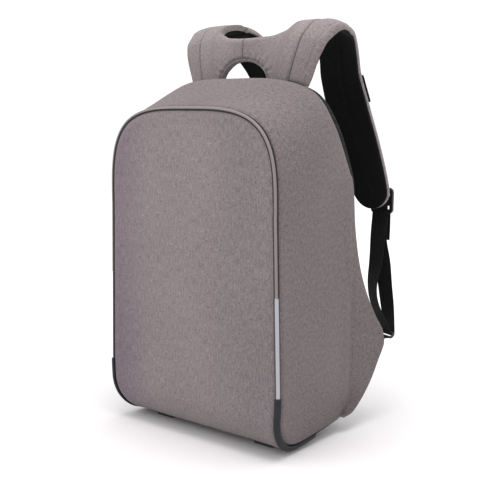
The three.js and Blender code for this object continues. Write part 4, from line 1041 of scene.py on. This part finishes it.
inner, outer = strap_sides(strap_places)
middle, half = ((inner + outer) / 2)[:, None], ((outer - inner) / 2)[:, None]
sewn = (place_at(strap_places) <= TONGUE_END)[:, None]
to_end = (course_length - strap_places)[:, None]
face_share = crowded(41)[None, :]
x_face = middle + half * face_share
distance_in, distance_out = half * (1 + face_share), half * (1 - face_share)
sag = np.where(sewn, drop(distance_in, SEAM_ROUND), 0.85 * drop(distance_in, INNER_ROUND))
sag = drop(distance_out, OUTER_ROUND) + sag + drop(to_end, OUTER_ROUND)
length_face = seated(x_face)


def thinned(x, length, high):
    """How far the root of the strap is thinner towards its outer edge."""
    at = place_at(length)
    outer_x = strap_read("centre", at, STRAP_SPREAD) + strap_read("width", at, STRAP_WIDTH) / 2
    return high / 10 * drop(np.maximum(outer_x - x, 0.0), 10.0) * (1 - ease(at, 0.7, 1.0))


sag = sag + thinned(x_face, length_face, 1.2)
sag = sag + drop(length_face - (seat_length(x_face) + SEATED_GAP), FOOT_ROUND)
puff = 1.0 * (1 - face_share**2)
stitched = 1.1 * bell(distance_out, STITCH_INSET, 1.6)
stitched = stitched * ease(length_face, root_length + 6, root_length + 20)
soft = waves(harness_point(x_face, length_face, OUTER_FACE), STRAP_WAVES)
soft = soft * ease(distance_out, 0, 8) * ease(distance_in, 0, 5)
height = OUTER_FACE - 1 + puff - sag - stitched + soft
face = harness_point(x_face, length_face, np.maximum(height, PAD_FACE + 2.2))
x_back = middle + half * np.linspace(1, -1, 15)[None, :] * 0.97
back = harness_point(x_back, seated(x_back), PAD_FACE + thinned(x_back, seated(x_back), 1.7))


def strap_edge(x, *heights):
    """The side of the pad at x, one column at each height."""
    return np.concatenate([harness_point(x, seated(x), height) for height in heights], axis=1)


x_edge = middle + half
thin = thinned(x_edge, seated(x_edge), 1.0)
right_edge = strap_edge(x_edge, OUTER_FACE - 5.6 - 1.2 * thin, PAD_FACE + 1.0 + 1.5 * thin)
left_edge = strap_edge(middle - half, PAD_FACE + 1, np.where(sewn, OUTER_FACE - 4.0, PAD_FACE + 1.8))
strap_loops = np.concatenate([face, right_edge, back, left_edge], axis=1)
edge_wrap = [half * 1.05, half * 1.1, x_back - middle, -half * 1.1, -half * 1.05]
side_coords = coords_of(np.concatenate(edge_wrap, axis=1), strap_places[:, None])
strap_coords = np.concatenate([coords_of(x_face - middle, length_face), side_coords], axis=1)
STRAP_YARNS = rgb(92, 84, 85), rgb(144, 134, 135)
strap_cloth = heather("strap_heather", *STRAP_YARNS, 1.9, (900, 700), (300, 240))
straps = dress_both(
    "strap_pad", strap_loops, strap_coords, strap_cloth, "side_cloth", "strap", sharp=60
)

# Columns of the yoke, closer together at its middle seam and round the foot of the gap.
columns = ((0, 0.04, 6), (0.055, 0.44, 28), (0.45, 0.58, 18), (0.6, 0.82, 26), (0.84, 1, 10))
yoke_across = np.concatenate([np.linspace(*column) for column in columns])
yoke_share = (crowded(53) + 1) / 2


def yoke_grid(height_at):
    """Columns of the yoke from its left seam to its right one, foot or gap to upper edge."""
    low_share = np.maximum(0.0, read_table(YOKE_LINE, "low", yoke_across, "across"))
    low_share = np.where(yoke_across >= 0.54, 0.0, low_share)
    low = seat_length(yoke_across * float(seam_x(0.0))) + low_share * HANDLE_GAP_HEIGHT
    high = length_at(np.minimum(TONGUE_END, read_table(YOKE_LINE, "high", yoke_across, "across")))
    length = low[:, None] + (high - low)[:, None] * yoke_share[None, :]
    seam = seam_x(place_at(length)) - SEAM_GAP / 2
    x = yoke_across[:, None] * seam
    right = harness_point(x, length, height_at(x, length, low[:, None], high[:, None], seam))
    return np.concatenate([mirrored(right[1:])[::-1], right])


def gap_edge():
    """The edge of the handle gap on the flat pattern: across, and along the course."""
    across = np.linspace(0, 0.545, 160)
    low = np.maximum(0.0, read_table(YOKE_LINE, "low", across, "across"))
    length = seat_length(across * float(seam_x(0.0))) + low * HANDLE_GAP_HEIGHT
    return across * (seam_x(place_at(length)) - SEAM_GAP / 2), length


gap_x, gap_length = gap_edge()


gap_run = np.concatenate([[0.0], np.cumsum(np.hypot(np.diff(gap_x), np.diff(gap_length)))])


def from_gap(x, length):
    """Distance to the gap's edge, and how far along that edge from the middle the place is."""
    away = np.hypot(x[..., None] - gap_x, length[..., None] - gap_length)
    return away.min(axis=-1), gap_run[away.argmin(axis=-1)]


def yoke_face(x, length, low, high, seam):
    """Height of the yoke's face: sunk edges, bound rim, gathers, middle seam and soft waves."""
    past_gap = yoke_across[:, None] >= 0.54
    gap, along_gap = from_gap(x, length)
    from_low, from_high, from_seam = length - low, high - length, seam - x
    sag = 0.6 * drop(gap, RIM_ROUND) + np.where(past_gap, drop(from_low, FOOT_ROUND), 0.0)
    sag = sag + drop(from_high, INNER_ROUND) * 0.75 + drop(from_seam, SEAM_ROUND)
    turn = along_gap / 7.5 * math.tau
    gathers = 1.7 * np.cos(turn + 1.1 * np.sin(turn / 3)) * np.exp(-gap / 9) * ease(gap, 3.0, 6.0)
    gathers = gathers * (1 - ease(gap, 14, 24))
    gathers = gathers * ease(length, seat_length(0.0) + 3, seat_length(0.0) + 14)
    rim = 0.7 * bell(gap, 1.6, 1.2) - 1.7 * bell(gap, 3.8, 0.9)
    middle_seam = 2.8 * bell(x, 0, 0.9) * ease(gap, 2, 5)
    soft = waves(harness_point(x, length, OUTER_FACE), YOKE_WAVES)
    soft = soft * ease(from_seam, 0, 6) * ease(gap, 0, 8)
    return np.maximum(OUTER_FACE - sag + gathers + rim - middle_seam + soft, PAD_FACE + 2.4)


yoke_outside = yoke_grid(yoke_face)


def rim_pinch(x, length, low, high, seam):
    """How much the pad's layers close up towards the gap and the upper edge, from 0 to 1."""
    at_gap = drop(from_gap(x, length)[0], RIM_ROUND) / RIM_ROUND
    return np.maximum(at_gap, 0.8 * drop(high - length, INNER_ROUND) / INNER_ROUND)


yoke_inside = yoke_grid(lambda *place: PAD_FACE + 1.9 * rim_pinch(*place))
yoke = make_slab("yoke_pad", yoke_outside, yoke_inside, steps=1, sharp=60)
dress(yoke, strap_cloth, "side_cloth", "yoke")

# Linings of yoke and straps. Black spacer mesh sewn under the foam, the side that lies on the
# wearer. It has a soft ridge along the strap and a few shallow dents where the foam is folded.
strap_mesh = spacer_mesh("strap_spacer_mesh", rgb(15, 16, 16), 0.0026)
lining_share = crowded(29)[None, :]
places = strap_places[:-1]
inner, outer = strap_sides(places)
middle, half = ((inner + outer) / 2)[:, None], ((outer - inner) / 2 - 0.5)[:, None]
x = middle + half * lining_share
length = np.maximum(places[:, None] + 0 * x, seat_length(x) + SEATED_GAP)
edge_distance = np.minimum(half * (1 - np.abs(lining_share)), (course_length - places)[:, None])
flat = harness_point(x, length, LINING_FACE)
ridge = 1.9 * bell(lining_share, 0.12, 0.08) + 0.9 * ripple(flat, 34, 51)
height = LINING_FACE + drop(edge_distance, 2.2) - ridge * ease(edge_distance, 0, 8)
inner_height = PAD_FACE - SEAM_GAP + thinned(x, length, 1.7)
height = np.minimum(height + thinned(x, length, 5.5), inner_height - 0.8)
lining_out, lining_in = harness_point(x, length, height), harness_point(x, length, inner_height)
SIDES = {"right": np.asarray, "left": mirrored}
for side, turn in SIDES.items():
    grids = turn(lining_out), turn(lining_in)
    piece = make_slab(f"strap_lining_mesh_{side}", *grids, lips=(0.3, 0.3), steps=3)
    dress(piece, strap_mesh, "black_mesh", f"strap_lining_{side}")
    declare_sheet(piece, lining_out)
yoke_back = yoke_grid(lambda *place: LINING_FACE + 4.0 * rim_pinch(*place))
yoke_mid = yoke_grid(lambda *place: PAD_FACE - SEAM_GAP + 1.9 * rim_pinch(*place))
piece = make_slab("yoke_lining_mesh", yoke_back, yoke_mid, steps=1)
dress(piece, strap_mesh, "black_mesh", "yoke_lining")
declare_sheet(piece, yoke_back)

# Bands across the outer face of both straps. Wide black webbing, sewn down along both side
# edges of the strap and left open above and below, for a ring or a pair of glasses.
BAND_HEIGHT, BAND_PLACE, BAND_THICKNESS = 38.0, 106.0, 2.0
black_webbing = webbing_cloth("black_webbing", rgb(11, 11, 12))
places = shoulder_length + BAND_PLACE + np.linspace(0, BAND_HEIGHT, 21)
inner, outer = strap_sides(places)
band_share = crowded(31)[None, :]
x = ((inner + outer) / 2)[:, None] + ((outer - inner) / 2 + 1)[:, None] * band_share
rows = places[:, None] + 0 * x
wrap = 3.2 * np.maximum(0.0, np.abs(band_share) - 0.82) / 0.18
hem = 0.5 * bell(np.minimum(rows - places[0], places[-1] - rows), 0, 1.2)
band_face = OUTER_FACE + 1.5 * SEAM_GAP + BAND_THICKNESS
band_out = harness_point(x, rows, band_face - wrap - hem)
band_in = harness_point(x, rows, band_face - BAND_THICKNESS - wrap)
for side, turn in SIDES.items():
    piece = make_slab(f"strap_band_webbing_{side}", turn(band_out), turn(band_in), lips=(0.6, 0.6))
    dress(piece, black_webbing, "black_webbing", f"strap_band_{side}")
    declare_sheet(piece, band_out)

# Webbing between strap and wing. One run of black webbing on each side: sewn to the strap's end,
# down to the ring, round its bar, up through the ladder lock and over its bar to a short free
# tail. A short tab of the same webbing holds the ring on the tip of the wing.
WEBBING_WIDTH, WEBBING_THICKNESS, WEBBING_BOW, TAIL_LENGTH, TAB_LENGTH = 25.0, 1.6, 15.0, 38.0, 12.0
LOCK_BORDER, LOCK_THICKNESS, LOCK_OFFSET, LOCK_DROP = 5.0, 4.0, 8.0, 8.0
RING_BAR, RING_HEIGHT, RING_STANDOFF, RING_TURN = 3.5, 7.5, 18.0, -20.0
FRONT_STRAND = {
    "down": (0.0, 0.2, 0.42, 0.6, 0.75, 0.9),
    "out": (0.0, -0.4, -0.58, -0.95, -0.75, -0.1),
    "back": (0.0, -0.05, -0.3, -0.75, -0.95, -0.7),
    "turn": (0, -2, -8, -28, -31, -24),
}
REAR_STRAND = {
    "down": (0.9, 0.78, 0.6, 0.42, 0.22),
    "out": (-0.2, -0.4, -0.25, -0.25, -0.6),
    "back": (0.65, 0.9, 0.45, 0.42, 0.35),
    "turn": (-16, -8, -4, 0, 0),
}
end_x = float(strap_read("centre", 2.0, STRAP_SPREAD)) + LOCK_OFFSET
lock_foot = course_length + LOCK_DROP
lock_base = OUTER_FACE + 2 * WEBBING_THICKNESS + 3 * SEAM_GAP


def turned(degrees):
    angle = math.radians(degrees)
    return np.array([math.cos(angle), math.sin(angle), 0.0])


tip_length = arch_start * WING_LINE["at"][WING_LINE["back"].index(1.0)]
wing_tip = rear_edge(tip_length)[0][0]
bar_centre = wing_tip + np.array([-0.3, 1.0, 0.75]) * RING_STANDOFF
bar_across = turned(RING_TURN)
UP = np.array([0.0, 0.0, 1.0])
bar_behind = np.cross(UP, bar_across)
to_tip = wing_tip - bar_centre
to_tip = unit(to_tip - bar_across * np.dot(to_tip, bar_across))
thick = WEBBING_THICKNESS / 2
inner_height, outer_height = OUTER_FACE + SEAM_GAP + thick, lock_base - SEAM_GAP - thick
tail_height = lock_base + LOCK_THICKNESS + SEAM_GAP + thick
over_bar = lock_foot - LOCK_BORDER - SEAM_GAP - thick
strand_start = harness_point(end_x, course_length + 4, inner_height)
route = []


def on_strap(length, height):
    route.append((harness_point(end_x, length, height), turned(0)))


def strand(table):
    for down, out, back_off, turn in zip(*table.values()):
        spot = between(strand_start, bar_centre, down) + np.array([out, back_off, 0.0]) * WEBBING_BOW
        route.append((spot, turned(turn)))


on_strap(course_length - 22, inner_height)
on_strap(course_length - 8, inner_height)
strand(FRONT_STRAND)
reach = RING_BAR / 2 + SEAM_GAP + thick + 0.15
for angle in np.linspace(0, math.pi, 9):
    round_bar = bar_behind * math.cos(angle) + UP * math.sin(angle)
    spot = bar_centre - reach * round_bar
    route.append((spot, bar_across))
strand(REAR_STRAND)
on_strap(lock_foot + 4, outer_height)
on_strap(lock_foot, outer_height)
on_strap(over_bar, outer_height)
on_strap(over_bar, tail_height)
on_strap(lock_foot, tail_height)
on_strap(lock_foot + TAIL_LENGTH / 2, tail_height)
on_strap(lock_foot + TAIL_LENGTH, tail_height - 1)


def cut_corners(rows, times=3):
    """A line with its corners rounded, which never leaves the line's own bends."""
    for _ in range(times):
        low, high = between(rows[:-1], rows[1:], 0.25), between(rows[:-1], rows[1:], 0.75)
        cut = np.stack([low, high], axis=1).reshape(-1, rows.shape[1])
        rows = np.concatenate([[rows[0]], cut, [rows[-1]]])
    return rows


rows = cut_corners(np.array([np.concatenate([spot, across]) for spot, across in route]))
spots, across = rows[:, :3], unit(rows[:, 3:])
ahead = unit(np.gradient(spots, axis=0))
off = unit(np.cross(across, ahead))
# Section of the webbing: shares of half its width and of half its thickness.
rim = np.array([(1, 0.1), (0.97, 0.85), (0.9, 1)])
top = [rim, [(0.5, 1), (0, 1), (-0.5, 1)], (rim * (-1, 1))[::-1]]
section = np.concatenate([*top, rim * (-1, -1), [(0, -1)], (rim * (1, -1))[::-1]])
wide, high = section[:, 0], section[:, 1] * thick


def swept(middle, reach, across, off):
    """Sections of webbing along a middle line, each reaching so far to both sides."""
    return middle[:, None] + across[:, None] * reach * wide[:, None] + off[:, None] * high[:, None]


loops = swept(spots, WEBBING_WIDTH / 2, across, off)
coords = coords_of(wide[None, :] * WEBBING_WIDTH / 2, lengths_along(spots)[:, None])
dress_both("adjuster_webbing", loops, coords, black_webbing, "black_webbing", "webbing")

above, below = rear_edge([tip_length + 10, tip_length - 10])[0]
wing_edge = unit(above - below)
away = -to_tip
tab_root = wing_tip + np.array([-WING_THICKNESS / 2, 0, 0]) + away * (SEAM_GAP + 0.6)
tab_end = bar_centre + to_tip * RING_HEIGHT + to_tip * (RING_BAR / 2 + SEAM_GAP)
share = np.linspace(0, 1, 13)[:, None]
tab_across = unit(between(wing_edge, bar_across, share))
tab_off = unit(np.cross(tab_across, away))
tab_reach = between(0.32, 0.46, share)[..., None] * WEBBING_WIDTH
loops = swept(between(tab_root, tab_end, share), tab_reach, tab_across, tab_off)
coords = coords_of(wide[None, :] * WEBBING_WIDTH / 2, share * TAB_LENGTH)
dress_both("wing_tab_webbing", loops, coords, black_webbing, "black_webbing", "wing_tab")

# Ladder locks and rings. Moulded black acetal with softly rounded edges: a frame with two slots
# that the webbing is laced through, and a ring that the webbing turns round.
acetal = plain("black_acetal", rgb(22, 22, 23), 0.34, 1500, 0.00002, **{"Specular IOR Level": 0.5})


def rounded_copy(node, name, width, segments=3):
    """The piece itself in its CAD shape, with all its edges rounded over."""
    piece = bpy.data.objects.new(name, bpy.data.objects[node].data.copy())
    piece.data.materials.clear()
    piece.matrix_world = bpy.data.objects[node].matrix_world.copy()
    bpy.context.scene.collection.objects.link(piece)
    body = bmesh.new()
    body.from_mesh(piece.data)
    bmesh.ops.transform(body, matrix=piece.matrix_world, verts=body.verts)
    bmesh.ops.remove_doubles(body, verts=body.verts, dist=1e-6)
    bmesh.ops.dissolve_limit(body, angle_limit=math.radians(4), verts=body.verts, edges=body.edges)
    solid = (edge for edge in body.edges if edge.is_manifold)
    sharp = [edge for edge in solid if edge.calc_face_angle() > math.radians(24)]
    rounding = {"offset": width, "segments": segments, "profile": 0.5, "clamp_overlap": True}
    bmesh.ops.bevel(body, geom=sharp, affect="EDGES", **rounding)
    bmesh.ops.recalc_face_normals(body, faces=body.faces)
    body.to_mesh(piece.data)
    body.free()
    piece.matrix_world.identity()
    piece.data.shade_smooth()
    piece.data.set_sharp_from_angle(angle=math.radians(40))
    return piece


for side in ("right", "left"):
    piece = rounded_copy(f"adjuster_{side}", f"ladder_lock_{side}", 0.0009)
    dress(piece, acetal, "black_plastic", f"adjuster_{side}")

half, cut = WEBBING_WIDTH / 2 + 1 + RING_BAR / 2, RING_BAR / 2
bottom = [(-half + cut, 0), (half - cut, 0)]
right, left = ([(x, cut), (x, RING_HEIGHT - cut)] for x in (half, -half))
top = [(x, RING_HEIGHT) for x, _ in bottom[::-1]]
ring_route = np.array(bottom + right + top + left[::-1])
for _ in range(2):
    after = np.roll(ring_route, -1, axis=0)
    cut_in = between(ring_route, after, 0.2), between(ring_route, after, 0.8)
    ring_route = np.stack(cut_in, axis=1).reshape(-1, 2)
ring_spots = bar_centre + ring_route[:, [0]] * bar_across + ring_route[:, [1]] * to_tip
ring_off = unit(np.cross(bar_across, to_tip))
ring_ahead = unit(np.roll(ring_spots, -1, axis=0) - np.roll(ring_spots, 1, axis=0))
ring_aside = unit(np.cross(ring_off, ring_ahead))
turns = np.arange(16) * math.tau / 16
ring_loops = ring_spots[:, None] + RING_BAR / 2 * (
    ring_off * np.cos(turns)[None, :, None] + ring_aside[:, None] * np.sin(turns)[None, :, None]
)
ring_coords = np.zeros(ring_loops.shape[:2] + (2,))
for side, turn in SIDES.items():
    piece = make_tube(f"webbing_ring_{side}", turn(ring_loops), ring_coords, ring=True)
    dress(piece, acetal, "black_plastic", f"ring_{side}")

# Feet. Four low moulded rubber pads, sewn and glued under the bottom of the pack.
foot_rubber = plain("foot_rubber", rgb(40, 42, 46), 0.55, 900, 0.00005)
for end in ("front", "rear"):
    for side in ("right", "left"):
        piece = rounded_copy(f"foot_{end}_{side}", f"rubber_foot_{end}_{side}", 0.0011)
        dress(piece, foot_rubber, "guard_rubber", f"foot_{end}_{side}")

# Seams. Lockstitch in matching thread along the outer edge of both straps and along the upper
# and lower edge of the bands. Every stitch is a short thread that lies in the cloth.
STRAP_STITCH = {"Pitch": 0.0038, "Length": 0.0028, "Width": 0.0006, "Height": 0.0005}
BAND_STITCH = {"Pitch": 0.0036, "Length": 0.0027, "Width": 0.0006, "Height": 0.0004}
grey_thread = plain("grey_thread", rgb(112, 104, 105), 0.8)
black_thread = plain("black_thread", rgb(24, 24, 25), 0.75)


def two_sides(*lines):
    return [turn(line) for line in lines for turn in SIDES.values()]


strap_seam_at = np.linspace(root_length + 8, course_length - end_round * 0.6, 160)
_, strap_outer = strap_sides(strap_seam_at)
outer_seam = harness_point(strap_outer - STITCH_INSET, strap_seam_at, OUTER_FACE - 1.35)
lay_beads("strap_stitches", two_sides(outer_seam), grey_thread, "side_cloth", **STRAP_STITCH)
band_lines = []
for place in (BAND_PLACE + 3, BAND_PLACE + BAND_HEIGHT - 3):
    low_x, high_x = strap_sides(np.array([shoulder_length + place]))
    line_x = np.linspace(low_x[0] + 5, high_x[0] - 5, 20)
    band_lines.append(harness_point(line_x, shoulder_length + place, band_face + 0.1))
lay_beads("band_stitches", two_sides(*band_lines), black_thread, "black_webbing", **BAND_STITCH)

# Setting. Pale floor and an evenly lit studio like the photograph's, with the camera where the
# photographer stood.


floor_mesh = bpy.data.meshes.new("studio_floor")
floor_mesh.from_pydata([(-30, -30, 0), (30, -30, 0), (30, 30, 0), (-30, 30, 0)], [], [(0, 1, 2, 3)])
floor = bpy.data.objects.new("studio_floor", floor_mesh)
bpy.context.scene.collection.objects.link(floor)
floor_painted_shadow, flow = start_material("studio_floor")
spot = flow.add("ShaderNodeTexCoord", None, None, 3)
away = flow.add("ShaderNodeVectorMath", {"operation": "LENGTH"}, {0: spot}, 1)
# Painted shadow: the floor is darkest within 0.2 m of its origin under the pack and pale again beyond 1.4
# m, which also dims its bounce light.
tone = away.within(0.2, 1.4).mix((0.72, 0.715, 0.72, 1.0), (0.97, 0.962, 0.968, 1.0))
floor_mesh.materials.append(end_material(floor_painted_shadow, flow, tone, 0.95))

world = bpy.data.worlds.new("studio")
world.use_nodes = True
world.node_tree.nodes["Background"].inputs["Color"].default_value = (1.0, 0.995, 1.0, 1.0)
world.node_tree.nodes["Background"].inputs["Strength"].default_value = 1.08
bpy.context.scene.world = world


def studio_light(name, place, aim, size, power, color=(1.0, 1.0, 1.0)):
    light = bpy.data.lights.new(name, "AREA")
    light.shape, light.size, light.energy, light.color = "DISK", size, power, color
    lamp = bpy.data.objects.new(name, light)
    lamp.location = place
    lamp.rotation_euler = (Vector(aim) - Vector(place)).to_track_quat("-Z", "Y").to_euler()
    bpy.context.scene.collection.objects.link(lamp)


studio_light("key", (-0.9, -2.0, 2.0), (0.0, 0.0, 0.25), 1.6, 9.5)
studio_light("top", (0.2, -0.2, 2.4), (0.0, 0.0, 0.2), 1.8, 42, (1.0, 0.95, 0.95))

camera = bpy.data.objects.new("camera", bpy.data.cameras.new("camera"))
camera.data.lens, camera.data.sensor_width = 69.0418, 36.0
camera.location = (0.80994762, -0.85855652 + FRONT_Y, 0.44222065)
camera.rotation_euler = (math.radians(90 - 8.36573562), 0.0, math.radians(40.0))
camera.data.clip_start, camera.data.clip_end = 0.05, 100.0
bpy.context.scene.collection.objects.link(camera)
bpy.context.scene.camera = camera
bpy.context.scene.view_settings.view_transform = "Standard"
